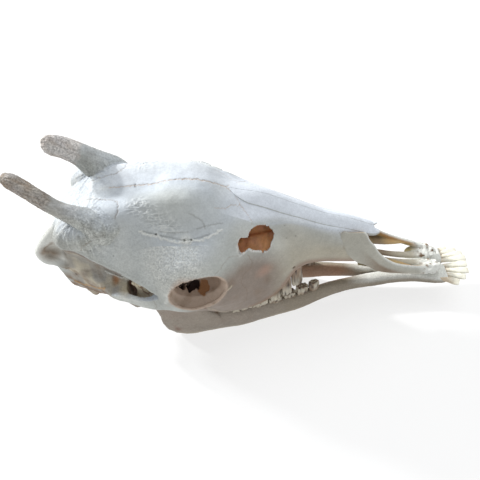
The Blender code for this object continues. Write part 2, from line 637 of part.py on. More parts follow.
def jaw_body(side):
    rings = []
    for x in stations_of(JAW_BODY, JAW_RINGS):
        y, low, high, half = rail_at(JAW_BODY, x)
        centre = np.array((x, side * y, (low + high) / 2))
        rise = np.array((0, 0, (high - low) / 2))
        rings.append(ellipse(centre, np.array((0, half, 0)), rise, JAW_SIDES, JAW_SQUARENESS))
    return loft("jaw_body", rings, JAW_BONE)


def jaw_branch(side):
    rings = []
    for z in stations_of(JAW_BRANCH, BRANCH_RINGS):
        rear, front, y, half = rail_at(JAW_BRANCH, z)
        centre = np.array(((rear + front) / 2, side * y, z))
        length = np.array(((front - rear) / 2, 0, 0))
        rings.append(ellipse(centre, length, np.array((0, half, 0)), BRANCH_SIDES, JAW_SQUARENESS))
    return loft("jaw_branch", rings, JAW_BONE)


def jaw_bone(side):
    body = union(jaw_body(side), [
        jaw_branch(side),
        tube("coronoid", CORONOID, side, (1, 0, 0)),
        tube("condyle_neck", CONDYLE_NECK, side, (1, 0, 0)),
        ellipsoid("condyle", JAW_CONDYLE, side),
    ])
    return rounded(body, JAW_TRIANGLES)


def add_teeth_and_flats(body, side):
    """Sets the teeth in the jaw, parts its halves on the midline and cuts the flats that it lies on."""
    rng = random.Random(23 + side)
    union(body, cheek_teeth(side, LOWER_TEETH, LOWER_ROW, LOWER_ROOTS, LOWER_TIPS, rng) + front_teeth(side))
    table = box("table", (-EVERYTHING, -EVERYTHING, -EVERYTHING), (EVERYTHING, EVERYTHING, 0))
    cut(body, [half_space(side, SYMPHYSIS_START, EVERYTHING), table])
    return keep_largest(body)


def settle(obj):
    """Moves a bone so that the origin is the point of the table under the skull's middle."""
    obj.data.transform(Matrix.Translation(Vector((-MIDDLE[0], -MIDDLE[1], 0)) * MM))


def main():
    clear_scene()
    nodes = {}
    sockets = []
    for side, word in ((RIGHT, "right"), (LEFT, "left")):
        horn, nasal, jaw = ossicone(side), nasal_bone(side), jaw_bone(side)
        front = premaxilla(side, socket_for(nasal))
        sockets += [socket_for(horn), socket_for(nasal), socket_for(front), socket_for(jaw, JAW_JOINT_GAP)]
        add_teeth_and_flats(jaw, side)
        for name, obj in (("ossicone", horn), ("nasal", nasal), ("premaxilla", front), ("mandible", jaw)):
            nodes[f"{name}_{word}"] = obj
    nodes["cranium"] = cranium(sockets)
    for name, obj in nodes.items():
        settle(obj)
        obj.name = name
        obj.data.name = name
        obj.data.shade_smooth()
        obj.data.set_sharp_from_angle(angle=math.radians(SHARP_ANGLE))


main()
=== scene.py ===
"""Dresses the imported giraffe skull: finer bones with relief, pits, sutures and stains, single teeth, and the
camera, light and floor of the photograph.

Sizes are in millimetres until a bone is settled into the frame: X from the back of the braincase, Y to the
animal's left from the midline, Z from the table. A half width is a Y without its sign.
"""

import math
import random

import bmesh
import bpy
import numpy as np
from mathutils import Matrix, Vector


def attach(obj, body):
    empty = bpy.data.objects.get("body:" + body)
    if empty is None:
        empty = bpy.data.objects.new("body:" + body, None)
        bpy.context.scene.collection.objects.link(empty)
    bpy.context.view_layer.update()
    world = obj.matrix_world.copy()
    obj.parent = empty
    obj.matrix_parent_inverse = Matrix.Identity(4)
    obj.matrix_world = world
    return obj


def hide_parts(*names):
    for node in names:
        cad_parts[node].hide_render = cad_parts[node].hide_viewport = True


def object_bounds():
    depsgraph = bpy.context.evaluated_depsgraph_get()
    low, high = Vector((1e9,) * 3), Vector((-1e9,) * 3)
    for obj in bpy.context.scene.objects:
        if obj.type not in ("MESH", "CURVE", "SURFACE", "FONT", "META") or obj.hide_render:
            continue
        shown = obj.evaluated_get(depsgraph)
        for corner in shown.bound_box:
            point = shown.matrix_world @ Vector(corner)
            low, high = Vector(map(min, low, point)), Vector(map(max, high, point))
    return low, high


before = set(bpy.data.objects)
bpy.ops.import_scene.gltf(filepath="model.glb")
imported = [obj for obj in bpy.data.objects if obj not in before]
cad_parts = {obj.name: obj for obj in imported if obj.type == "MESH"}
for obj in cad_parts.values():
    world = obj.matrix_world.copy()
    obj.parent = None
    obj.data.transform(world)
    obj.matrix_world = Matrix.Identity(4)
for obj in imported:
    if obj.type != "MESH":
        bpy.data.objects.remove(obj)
cad_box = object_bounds()

MM = 0.001
SUTURE_GAP = 0.3
# The point of the table under the middle of the skull's bounding box, which becomes the origin.
MIDDLE = (316.4, 0.0, 0.0)
RIGHT = -1
LEFT = 1
WORDS = {RIGHT: "right", LEFT: "left"}

# Lines that run along the vault and face, each point an X, a half width and a height.
CREST_LINE = ((4, 0, 243), (22, 0, 258), (45, 0, 276), (74, 0, 290), (112, 0, 296), (150, 0, 296),
              (181, 0, 295), (207, 0, 300), (240, 0, 296), (258, 0, 289), (278, 0, 277), (327, 0, 258),
              (369, 0, 232), (412, 0, 206), (453, 0, 187), (488, 0, 166))
SHOULDER_LINE = ((4, 18, 236), (22, 19, 252), (34, 23, 263), (45, 28, 272), (74, 41, 287),
                 (112, 46, 296), (150, 43, 299), (190, 36, 300), (225, 36, 297.5), (250, 33, 288),
                 (278, 29, 268), (327, 24, 246), (369, 20, 222), (412, 17, 197), (453, 14, 181),
                 (488, 11, 163))
BROW_LINE = ((4, 26, 222), (22, 30, 238), (34, 37, 250), (45, 48, 260), (74, 57, 271), (112, 66, 267),
             (143, 71, 264), (168, 70, 269), (214, 73, 257), (230, 73, 256), (250, 66, 259),
             (271, 54, 258), (300, 43, 247), (327, 36, 234), (369, 30, 210), (412, 25, 189),
             (453, 21, 174), (488, 15, 158))
TEMPLE_LINE = ((4, 33, 206), (22, 38, 224), (34, 44, 236), (45, 56, 251), (74, 68, 246), (112, 86, 229),
               (143, 98, 211), (168, 106, 200), (186, 109, 221), (200, 108, 234), (214, 105, 240),
               (232, 101, 240), (250, 92, 236), (271, 76, 227), (300, 58, 213), (327, 50, 201),
               (369, 40, 184), (412, 33, 172), (453, 30, 161), (488, 22, 150))
CHEEK_LINE = ((4, 38, 188), (22, 42, 198), (45, 50, 208), (74, 66, 208), (112, 94, 195), (143, 105, 190),
              (168, 112, 182), (186, 115, 196), (206, 113, 212), (227, 111, 216), (250, 104, 208),
              (271, 91, 194), (300, 70, 180), (327, 58, 169), (369, 44, 158), (412, 35, 156),
              (453, 33, 147), (488, 27, 140))
ARCH_LINE = ((4, 37, 165), (22, 43, 165), (45, 54, 168), (74, 72, 168), (96, 93, 172), (114, 100, 170),
             (134, 106, 167), (158, 113, 169), (175, 116, 168), (191, 116, 160), (206, 115, 152),
             (227, 111, 148), (250, 105, 148), (271, 94, 144), (300, 78, 136), (327, 65, 134),
             (369, 44, 150), (412, 34, 142), (453, 32, 130), (488, 28, 124))
JUGAL_LINE = ((4, 36, 140), (22, 42, 134), (45, 51, 128), (74, 68, 138), (96, 88, 155), (114, 95, 156),
              (143, 104, 150), (168, 111, 153), (191, 111, 144), (206, 109, 138), (227, 104, 133),
              (250, 96, 124), (271, 88, 112), (300, 76, 101), (327, 65, 106), (346, 55, 119),
              (363, 46, 135), (390, 35, 137), (412, 32, 131), (453, 30, 121), (488, 26, 114))
GUM_LINE = ((4, 30, 116), (22, 34, 112), (45, 42, 110), (74, 48, 112), (112, 54, 122), (143, 56, 125),
            (168, 60, 120), (191, 66, 108), (214, 72, 92), (240, 75, 79), (271, 74, 77), (300, 69, 79),
            (325, 62, 88), (344, 53, 101), (356, 46, 115), (367, 40, 126), (382, 34, 129), (398, 28, 124),
            (412, 26, 121), (453, 24, 114), (488, 20, 106))
PALATE_EDGE_LINE = ((4, 18, 108), (74, 22, 100), (143, 28, 98), (191, 38, 90), (240, 50, 82),
                    (300, 42, 84), (328, 37, 92), (347, 33, 105), (366, 28, 119), (382, 23, 122),
                    (412, 18, 118), (453, 16, 111), (488, 12, 104))
PALATE_LINE = ((4, 0, 106), (45, 0, 100), (143, 0, 101), (235, 0, 98), (300, 0, 98), (350, 0, 109),
               (385, 0, 119), (412, 0, 117), (453, 0, 111), (488, 0, 104))
VAULT_LINES = (CREST_LINE, SHOULDER_LINE, BROW_LINE, TEMPLE_LINE, CHEEK_LINE, ARCH_LINE, JUGAL_LINE,
               GUM_LINE, PALATE_EDGE_LINE, PALATE_LINE)

# Nuchal crest and the process beside each condyle, as rounded ridges: X, half width, Z and two radii.
NUCHAL_RIDGE = ((52, 14, 265, 13, 12), (27, 19, 246, 11.5, 11), (6, 25, 227, 12, 12),
                (-7, 30, 208, 11, 13), (-3, 36, 202, 9, 10), (11, 40, 199, 8, 8), (27, 44, 188, 6, 8))
PAROCCIPITAL_PROCESS = ((38, 40, 135, 9, 7), (35, 39, 116, 8, 6), (34, 36, 99, 5, 4))
PTERYGOID_WING = ((196, 34, 100, 20, 6), (184, 31, 86, 14, 4), (176, 29, 74, 6, 3))
# Rounded forms, as a centre and three radii.
HORN_PEDESTAL = ((78, 47, 268), (33, 29, 27))
OCCIPITAL_PLATE = ((14, 0, 196), (26, 40, 48))
OCCIPITAL_CONDYLE = ((14, 19, 116), (15, 12, 18))
AUDITORY_BULLA = ((74, 38, 108), (16, 12, 15))

# Hollows, each as one or more ellipsoids: centre and radii.
ORBIT_MOUTH = ((229, 119, 186), (43, 36, 36))
ORBIT_DEPTH = ((224, 94, 187), (33, 35, 28))
ORBIT_APEX = ((208, 72, 186), (20, 26, 18))
FORAMEN_MAGNUM = ((0, 0, 142), (30, 16, 17))
CHOANA = ((196, 0, 96), (44, 21, 20))
NAPE_HOLLOW = ((17, 51, 221), (20, 22, 12))
FACE_SINUS = ((292, 38, 210), (14, 20, 18))
FACE_SINUS_FRONT = ((312, 30, 208), (20, 19, 22))
SIDE_HOLLOWS = (ORBIT_MOUTH, ORBIT_DEPTH, ORBIT_APEX, NAPE_HOLLOW, FACE_SINUS, FACE_SINUS_FRONT)

# Hollow under the temporal line: X, inner wall, floor and ceiling.
TEMPORAL_FOSSA = ((31, 47, 200, 230), (45, 47, 178, 247), (60, 50, 168, 246), (75, 54, 166, 242),
                  (92, 57, 170, 234), (112, 60, 175, 227), (130, 63, 175, 218), (146, 66, 177, 207),
                  (160, 76, 180, 197), (170, 94, 184, 189))
FOSSA_REACH = 140
FOSSA_SQUARENESS = 3.0
FOSSA_RINGS = 22
FOSSA_SIDES = 24
# Shaft between braincase and arch that the jaw's coronoid process stands in: X, inner wall and outer wall,
# then heights with the share of its length that it keeps there.
CORONOID_SHAFT = ((119, 72, 86), (124, 70, 93), (136, 70, 97), (150, 70, 101), (164, 71, 103),
                  (177, 74, 103), (188, 82, 99))
SHAFT_LEVELS = ((84, 1.0), (136, 1.0), (158, 0.74), (196, 0.6))

# Nasal passage: X, half width, floor and ceiling.
NASAL_PASSAGE = ((266, 18, 184, 206), (276, 29, 172, 219), (288, 36, 161, 230), (302, 38, 154, 235),
                 (320, 38, 148, 231), (340, 35, 140, 224), (369, 29, 130, 211), (400, 27, 130, 198),
                 (430, 26, 126, 184), (460, 27, 120, 172), (500, 29, 112, 160), (530, 30, 100, 150))
PASSAGE_RINGS = 30
PASSAGE_SIDES = 28
PASSAGE_SQUARENESS = 2.8
# Opening with broken edges in front of the orbit, outlined in the X-Z plane.
FACE_OPENING = ((286, 215), (286, 226), (289, 232), (294, 230), (301, 227), (303, 234), (308, 236),
                (314, 237), (321, 235), (330, 229), (336, 218), (335, 210), (331, 205), (329, 198),
                (323, 194), (315, 199), (305, 205), (300, 211), (295, 210), (288, 210))
FACE_OPENING_DEPTH = (24, 100)
OPENING_STEPS = 5

# Ossicones: X, Y, Z, broad radius and thin radius from the sunk root to the tip.
OSSICONE_RIGHT = ((112, 45, 254, 30, 20), (99, 46, 278, 31, 20), (85, 48.5, 297, 20.5, 13),
                  (68, 47.5, 311, 14.5, 10.5), (50, 44, 329, 13, 10), (34, 39, 346, 12.5, 9.8),
                  (22, 36, 357, 11, 9.2), (14, 34, 363, 5, 5))
OSSICONE_LEFT = ((118, 48, 252, 32, 22), (102, 50, 280, 29, 21), (89, 50, 303, 20, 15.5),
                 (77, 48.5, 320, 16, 13.5), (63, 46, 335, 14.5, 12.5), (51, 41, 346, 13.5, 12),
                 (44, 38, 351, 10, 9), (40, 36, 353, 4.5, 4))
OSSICONE_BROAD_WAY = (0.55, 0.70, 0.45)
# Low skirt of each ossicone on the roof of the skull: centre, radii and tilt towards the side in degrees.
OSSICONE_SKIRT = ((112, 45, 279), (36, 28, 18))
SKIRT_TILT = 22

# Nasal bones: X, inner half width, outer half width, and thickness below the crest line.
NASAL_PLATE = ((282, 0, 4, 4), (290, 0, 12, 7), (308, 0, 19, 8), (340, 0, 20, 8), (380, 0, 18, 7.5),
               (420, 0, 16.5, 7), (455, 0, 16, 6), (470, 0, 15.5, 5), (480, 0, 14.5, 4.5),
               (487, 3, 13, 4), (494, 7.5, 11, 3))
NASAL_PROUD = 0.4

# Premaxilla: X, half width, Z, tall radius and thin radius of the side plate, then of the slip beside the
# midline.
PREMAXILLA_PLATE = ((429, 25, 171, 3, 2.5), (436, 27.5, 166, 9.5, 3.2), (446, 30, 157, 16.5, 4),
                    (461, 30.5, 147, 23, 4.6), (470, 30, 143, 24.5, 4.8), (477, 30.5, 137, 24, 4.8),
                    (485, 31, 127, 22, 4.8), (493, 32, 116, 17.5, 4.8), (508, 33, 104, 12, 5),
                    (524, 32.5, 95, 8.5, 5.2), (545, 30, 85.5, 6.8, 5.6), (570, 26, 76, 5.8, 6.6),
                    (590, 21, 70.5, 5.2, 8), (602, 15, 68.5, 3.6, 6))
PREMAXILLA_LEAN = 0.28
PREMAXILLA_SLIP = ((462, 7, 112, 3, 4), (490, 7, 96, 3.2, 4.8), (520, 7.5, 82, 3.4, 5.4),
                   (550, 8, 73, 4, 6), (578, 9, 69, 4.5, 7), (597, 9, 68.5, 4, 6))
PREMAXILLA_TIP = ((576, 16, 70), (25, 13, 5))

# Jaw: X, Y centre, lower edge, upper edge and half thickness.
JAW_BODY = ((150, 67, 4, 34, 6), (175, 68, -2, 50, 7), (205, 64.5, -1.5, 58, 8),
            (235, 60, -0.5, 55, 10), (270, 55, -1, 49, 11.5), (300, 47, -1.5, 46, 11.5),
            (330, 40.5, -1.5, 45, 10.5), (360, 34.5, -1, 44.5, 10), (385, 28.5, 3, 45, 9),
            (405, 24, 9, 47, 8), (425, 20, 14, 49, 7.5), (450, 15.5, 18, 48.5, 7.5),
            (475, 12, 20.5, 47, 9), (500, 10.5, 22.5, 48, 10), (530, 9.5, 26, 50, 10),
            (560, 11, 29, 52, 11), (585, 15, 33, 54, 14), (603, 18, 38, 56, 17), (613, 18.5, 43, 56, 17))
# Jaw branch: height, rear edge, front edge, Y centre and half thickness.
JAW_BRANCH = ((6, 149, 204, 67, 6), (20, 138, 232, 68, 7.5), (45, 134.5, 236, 68.5, 7.5),
              (70, 137, 222, 70, 6.5), (95, 137, 203, 73, 5.5), (120, 123, 184, 76.5, 5.5),
              (136, 110, 174, 78, 5.5))
CORONOID = ((150, 80, 122, 26, 7.5), (146, 83, 148, 22, 7.5), (145, 84, 168, 15, 6),
            (139, 85, 184, 8, 4), (131, 85, 192, 3.5, 2.6))
CONDYLE_NECK = ((120, 76, 118, 11, 6), (112, 76, 138, 10, 8), (109, 75, 146, 9, 10))
JAW_CONDYLE = ((109, 74, 147), (9.5, 15, 7.5))
JAW_RINGS = 52
JAW_SIDES = 20
BRANCH_RINGS = 20
BRANCH_SIDES = 28
JAW_SQUARENESS = 2.6
# The front parts of the two halves meet here on the midline.
SYMPHYSIS_START = 440

# Cheek teeth, front to back: X centre, length, width and number of lobes.
UPPER_TEETH = ((366, 18, 13, 1), (347, 19, 17, 2), (327, 20, 20, 2), (304, 25, 22, 2), (278, 26, 24, 2),
               (251, 26, 22, 2))
LOWER_TEETH = ((394, 17, 9, 1), (374, 20, 11, 2), (352, 22, 12, 2), (327, 26, 14, 2), (298, 29, 15, 2),
               (265, 34, 15, 3))
# Lines that a row follows: X and half width, then X and height of the worn edges and of the roots' ends.
UPPER_ROW = ((238, 65), (280, 62), (307, 57), (331, 50), (352, 43), (366, 38.5), (380, 34))
UPPER_TIPS = ((238, 58.5), (307, 56.5), (347, 58), (366, 73), (380, 77))
LOWER_ROW = ((240, 59), (265, 54), (298, 46.5), (327, 40.5), (352, 35), (374, 30.5), (394, 26.5),
             (410, 24))
LOWER_TIPS = ((240, 54.5), (327, 53.5), (352, 55), (374, 62), (394, 67), (410, 67))
UPPER_ROOTS = ((238, 92), (304, 92), (327, 101), (347, 115), (366, 132), (380, 136))
LOWER_ROOTS = ((240, 32), (410, 32))
TOOTH_SQUARENESS = 2.4

# Front teeth of the jaw, from the middle outwards: root and tip in X, half width and Z, then half the width
# of the crown.
FRONT_TEETH_RIGHT = (((607, 5.5, 50), (650, 6.5, 54), 6.6), ((606, 13, 50), (649, 19.5, 53), 6.2),
                     ((603, 20, 50), (641, 32, 53), 5.8), ((597, 26, 50), (627, 42.5, 54.5), 6.4))
FRONT_TEETH_LEFT = (((607, 5.5, 50), (652, 6, 54), 6.6), ((606, 13, 50), (650, 16, 52.5), 6.2),
                    ((603, 19, 49), (643, 26, 50), 5.8), ((597, 24, 48), (631, 33, 46), 6.2))

# Shape of a front tooth: place along it, share of its width, and half its thickness.
FRONT_TAPER = ((-0.25, 0.42, 3.0), (0.1, 0.5, 3.2), (0.4, 0.66, 3.2), (0.7, 0.95, 2.8), (0.9, 1.0, 1.9),
               (1.0, 0.86, 0.9))
# Shape of a cheek tooth: share of its height, share of its width, and how far the worn top dips there.
CROWN_LEVELS = ((0.0, 0.80, 0), (0.25, 0.88, 0), (0.5, 0.96, 0), (0.75, 1.0, 0), (0.92, 0.97, 0),
                (1.0, 0.90, 0), (1.0, 0.82, 0.6), (1.0, 0.66, -1.2), (1.0, 0.48, -0.2), (1.0, 0.32, -1.9),
                (1.0, 0.15, -1.2), (1.0, 0.03, -1.0))
CROWN_SIDES = 56
CROWN_SQUARENESS = 3.2
TOOTH_GAP = 0.8

# Reach of the blocks that cut away everything on one side of a plane.
EVERYTHING = 1000

# The photograph's camera: place, the point it looks at, turn about its own axis in degrees, focal length and
# width of the sensor.
CAMERA_PLACE = (341, -437, 697)
CAMERA_TARGET = (281.8, 3.3, 156)
CAMERA_ROLL = -10.96
CAMERA_LENS = 33.34
CAMERA_SENSOR = 36.0

# Fineness of the vault: sections along it, and steps between the points of a section.
VAULT_STATIONS = 150
SECTION_STEPS = 9
# Grid that melts each bone's joins, and how often it is smoothed.
CRANIUM_GRID = 1.1
JAW_GRID = 1.0
OSSICONE_GRID = 0.8
PREMAXILLA_GRID = 0.7
SMOOTH_PASSES = 3
SMOOTH_FACTOR = 0.5
# Fineness of the ellipsoids, and of the nasal bones along and across.
BALL_DETAIL = 4
NASAL_RINGS = 160
NASAL_COLUMNS = 22
# Size of the table that the noise repeats after.
NOISE_CELLS = 32
# How much each round of softening evens out, and the number of rounds.
SOFTEN_STEP = 0.6
SOFTEN_ROUNDS = 60
# Distance between the points of a drawn line, the size of its jags, and how far from a path's box points are
# looked for.
LINE_SPACING = 0.7
JAG_SIZE = 2.2
PATH_MARGIN = 8
LINE_SEED = 5
# Torn patches: how ragged, how large the tears are, and the width of the soft edge.
PATCH_RAGGED = 0.3
PATCH_GRAIN = 4.0
PATCH_EDGE = 0.15
# The cavity of the nose lies this deep under the face, from the first to the last X and above the floor. At
# the first X its wall is thicker by the first size of the taper, and it thins over the second.
FACE_WALL = 3.0
CAVITY = (279, 400, 140)
CAVITY_TAPER = (26, 14)
CAVITY_RINGS = 44
# Scroll of thin bone inside the face opening: half width and Z across it, then X and the half width of the
# wall that it springs from, its thickness in Y and Z, and the height and length of its waves.
CONCHA = ((66, 190), (58, 195), (46, 200), (36, 203), (27, 201), (21, 205), (15, 212), (11, 221), (8, 231))
CONCHA_WALL = ((281, 70), (300, 58), (327, 48.5), (337, 46))
CONCHA_RINGS = 36
CONCHA_THICKNESS = (0.8, 1.6)
CONCHA_WAVES = ((1.2, 4.5), (0.6, 2.1))

# Colours as seen in plain light, red, green and blue from 0 to 255.
PALE = (180, 183, 178)
# Bluish tint of upward faces: painted sky light.
SKY_LIGHT_TINT = (188, 195, 202)
WHITE = (220, 221, 215)
# Painted top light on upward faces and on the far side, towards the lamps.
TOP_LIGHT = (216, 222, 230)
PINKISH = (136, 121, 109)
# Brown of the nape hollow and its overhanging edge: painted shade.
NAPE = (128, 108, 86)
OLIVE = (180, 166, 122)
STRIP = (150, 128, 112)
GUM_BROWN = (140, 112, 88)
CREAM = (206, 196, 172)
TAN = (190, 148, 96)
INNER = (226, 168, 116)
ORANGE = (160, 112, 70)
RED_BROWN = (112, 66, 42)
SHADE = (136, 134, 126)
SOCKET = (184, 164, 147)
# Painted shade under the temporal rim.
UNDER_RIM_SHADE = (108, 92, 82)
ROSTRUM = (176, 170, 154)
BROWN = (124, 102, 80)
TEMPLE = (148, 141, 130)
# Painted shade in holes and in the clefts of the teeth.
DEEP_SHADE = (44, 24, 16)
JAW_BROWN = (150, 140, 128)
JAW_FRONT = (140, 130, 114)
JAW_INNER = (176, 140, 116)
HORN_GREY = (168, 162, 154)
HORN_LILAC = (178, 175, 178)
HORN_BROWN = (138, 116, 92)
# Lighter, lit copy of the horn colour for the far horn: painted light.
HORN_FAR_LIT = (206, 202, 198)
ENAMEL = (186, 179, 162)
IVORY = (228, 226, 212)
PINK = (206, 152, 126)

# Sutures and grooves, which both sides repeat: X, half width and Z.
FRONTAL_SUTURE = ((120, 0, 296), (160, 0, 296), (191, 0, 297), (228, 0, 298), (252, 0, 292), (279, 0, 278))
NASO_FRONTAL_SUTURE = ((278, 2, 278), (288, 9, 273), (296, 24, 261), (302, 30, 256), (308, 40, 242))
FRONTAL_BRANCH_SUTURE = ((262, 36, 276), (275, 32, 269), (284, 25, 266), (296, 24, 261))
HORN_SUTURE = ((70, 60, 262), (80, 65, 264), (92, 68, 270), (101, 70, 275), (111, 71, 281), (121, 66, 287),
               (133, 58, 292), (139, 48, 296), (138, 34, 300), (126, 26, 299), (110, 22, 298), (92, 18, 295))
LACRIMAL_SUTURE = ((285, 70, 212), (275, 76, 219), (267, 85, 219), (261, 92, 216), (253, 100, 214))
CHEEK_SUTURE = ((297, 64, 204), (302, 66, 190), (299, 71, 182), (288, 80, 179), (284, 85, 168),
                (289, 84, 146), (286, 85, 120))
PREMAXILLA_SUTURE = ((431, 21, 184), (436, 28, 173), (438, 32, 161), (447, 36, 143), (460, 37, 128))
ZYGOMATIC_SUTURE = ((160, 108, 184), (161, 112, 178), (163, 114, 170), (160, 112, 160))
SUPRAORBITAL_GROOVE = ((166, 65, 276), (178, 67, 271), (188, 69, 268), (202, 70, 263), (219, 72, 258),
                       (228, 72, 257), (240, 70, 257), (252, 66, 257))
SUPRAORBITAL_RIDGE = ((163, 66, 277), (176, 69, 272), (187, 71, 268), (202, 74, 262), (218, 75, 258),
                      (234, 75, 257), (247, 72, 257), (256, 67, 256), (268, 58, 256))
UPPER_GROOVES = (((188, 65, 272), (206, 65, 267), (226, 65, 265)),
                 ((238, 62, 266), (246, 60, 267), (258, 56, 265), (270, 51, 261)),
                 ((231, 50, 284), (240, 53, 278), (246, 56, 271), (248, 61, 264)))
# Strip that the fine branching veins of the brow lie in, and their reach beside it.
DENDRITES = ((163, 40, 299), (186, 56, 285), (204, 61, 272))
DENDRITE_REACH = 24
DENDRITE_STEPS = 30
ORBIT_LOWER_RIM = ((270, 94, 175), (259, 100, 169), (249, 103, 158), (234, 107, 153), (218, 112, 152),
                   (205, 114, 156), (194, 114, 166))
ORBIT_REAR_RIM = ((201, 109, 232), (203, 112, 220), (195, 113, 213), (187, 114, 197), (180, 116, 179))
FACIAL_CREST = ((232, 108, 146), (236, 101, 122), (240, 88, 100), (252, 76, 84))
TEMPORAL_RIM = ((47, 56, 250), (60, 62, 251), (73, 68, 246), (86, 74, 239), (100, 80, 236), (113, 86, 230),
                (126, 89, 226), (138, 94, 218), (150, 99, 210), (161, 105, 198), (168, 108, 184))
SQUAMA_RIDGE = ((88, 60, 188), (92, 61, 187), (105, 67, 184), (120, 72, 181), (130, 76, 178))
SQUAMA_FOLD = tuple((x, y - 3, z + 6) for x, y, z in SQUAMA_RIDGE)
# Overhanging upper edge of the nape hollow, painted brown as shade.
NAPE_EDGE = ((-3, 38, 216), (2, 37, 222), (12, 35, 228), (24, 40, 234), (38, 50, 246), (50, 57, 249))
# Row of small pits along the lower edge of the cheek.
ALVEOLAR_LINE = ((229, 109, 150), (236, 96, 112), (244, 80, 84), (254, 75, 77), (276, 74, 77), (300, 70, 77),
                 (316, 68, 82))
TEMPLE_CREST = ((17, 41, 145), (36, 49, 145), (56, 60, 151), (84, 79, 173))
ROSTRUM_RIDGE = ((330, 40, 236), (360, 26, 222), (403, 21, 199), (440, 19, 183))
# What both sides are given in this order: lines, width, depth, colour, its share, how jagged, and what is
# added to the seed of the jags. A depth below 0 makes a ridge.
SKULL_LINES = (
    ((FRONTAL_SUTURE, NASO_FRONTAL_SUTURE, FRONTAL_BRANCH_SUTURE), 1.0, 0.5, TAN, 0.35, 1.8, 0),
    ((HORN_SUTURE,), 1.5, 0.7, BROWN, 0.45, 2.2, 9),
    ((LACRIMAL_SUTURE, CHEEK_SUTURE, ZYGOMATIC_SUTURE, PREMAXILLA_SUTURE), 1.3, 0.4, BROWN, 0.3, 1.3, 3),
    ((SUPRAORBITAL_GROOVE,), 2.6, 1.1, SHADE, 0.25, 0, 0),
    ((SUPRAORBITAL_RIDGE,), 2.2, -1.7, WHITE, 0.75, 2.4, 0),
    (UPPER_GROOVES, 1.8, 0.8, SHADE, 0.3, 0.6, 0),
    ((ORBIT_LOWER_RIM,), 2.6, -1.2, CREAM, 0.7, 0, 0),
    ((ORBIT_REAR_RIM,), 4.0, -1.0, WHITE, 0.6, 2.4, 0),
    ((FACIAL_CREST,), 4.0, -1.6, CREAM, 0.4, 0, 0),
    ((TEMPORAL_RIM,), 3.0, -0.8, PALE, 0.5, 0, 0),
    ((SQUAMA_RIDGE,), 2.8, -2.4, WHITE, 0.9, 0.8, 0),
    ((SQUAMA_FOLD,), 3.4, 3.0, RED_BROWN, 0.9, 0, 0),
    ((TEMPLE_CREST,), 3.0, -1.4, TAN, 0.8, 1.6, 0),
    # Painted sky light along the ridge of the rostrum.
    ((ROSTRUM_RIDGE,), 4.0, -0.8, SKY_LIGHT_TINT, 0.5, 0, 0),
    ((ALVEOLAR_LINE,), 3.0, 0.8, RED_BROWN, 0.5, 1.5, 0),
)
# Soft spots on both sides: centre, radii, depth, colour and its share. The brown spot in the nape hollow is
# painted shade.
SKULL_SPOTS = (((117, 87, 178), (16, 22, 14), 0, CREAM, 0.9), ((101, 72, 181), (10, 12, 11), 2, ORANGE, 0.9),
               ((112, 103, 175), (52, 14, 9), 0, WHITE, 0.7), ((10, 39, 216), (26, 16, 20), 0, NAPE, 1.0))
# Small holes: centre, radius and depth. Their dark paint is painted shade.
FORAMINA = (((156, 2, 296), 1.8, 2.0), ((185, 68, 270), 2.2, 4.0), ((30, 47, 170), 2.6, 5.0),
            ((220, 72, 258), 2.2, 5.0), ((229, 72, 257), 1.8, 5.0), ((122, 79, 247), 1.2, 1.5),
            ((242, 39, 291), 1.2, 1.0), ((91, 71, 253), 1.2, 1.5), ((352, 31, 221), 1.1, 2.0),
            ((359, 33, 211), 1.1, 2.0), ((367, 35, 201), 1.1, 2.0), ((353, 39, 203), 1.2, 2.0),
            ((362, 47, 140), 3.5, 5.0))
# How far the opening in the face is torn from its smooth outline.
TEAR = 2.2
TEAR_SEED = 91
# Edges shorter than this are closed up.
SLIVER = 0.1
# Edges where the surface turns by more than this many degrees are shown sharp.
SHARP_ANGLE = 60
# Point in the foot of each horn that its length is measured from.
HORN_FOOT = (108, 46, 280)
# Where the rough bone of each horn begins, how worn it is below and how aged above, and its colour above. The
# far horn's colour is a lighter, lit copy: painted light.
HORN_LOOK = {RIGHT: (62, 0.55, 0.55, HORN_GREY), LEFT: (50, 0.2, 0.35, HORN_FAR_LIT)}
# How much higher the premaxilla's tall part stands on each side and up to which X, then where it begins and
# how far it is drawn in.
PREMAXILLA_RISE = {RIGHT: (9, 476), LEFT: (-8, 480)}
PREMAXILLA_RISE_START = 432
PREMAXILLA_TUCK = 1.5
# The upper cheek teeth stand this far inside their row, are this much narrower and this much shorter.
UPPER_TUCK = (5, 4, 4)
# Palatal shelf of the premaxilla: X, inner and outer half width, and Z.
PREMAXILLA_SHELF = ((462, 16, 33, 113), (480, 13, 34, 107), (505, 13, 34, 101), (530, 17, 33, 93),
                    (550, 22, 31, 86), (568, 23, 26, 78))
SHELF_RINGS = 40
SHELF_SIDES = 32
SHELF_HALF_THICKNESS = 1.6
# The stained inside of the orbit: centre and radii.
ORBIT_INSIDE = ((224, 116, 190), (50, 84, 50))
# Torn hole in the inner wall of the orbit, painted dark as shade, and the stain beside it: centre, radii and
# depth.
ORBIT_HOLE = (((204, 80, 178), (15, 14, 12), 9.0), ((213, 80, 168), (11, 12, 9), 9.0))
ORBIT_STAIN = ((229, 82, 160), (9, 13, 10))
# Shine of the bone, and strength and depth in metres of its finest bumps.
BONE_SHINE = 0.35
BUMP_STRENGTH = 0.55
BUMP_DEPTH = 0.0012
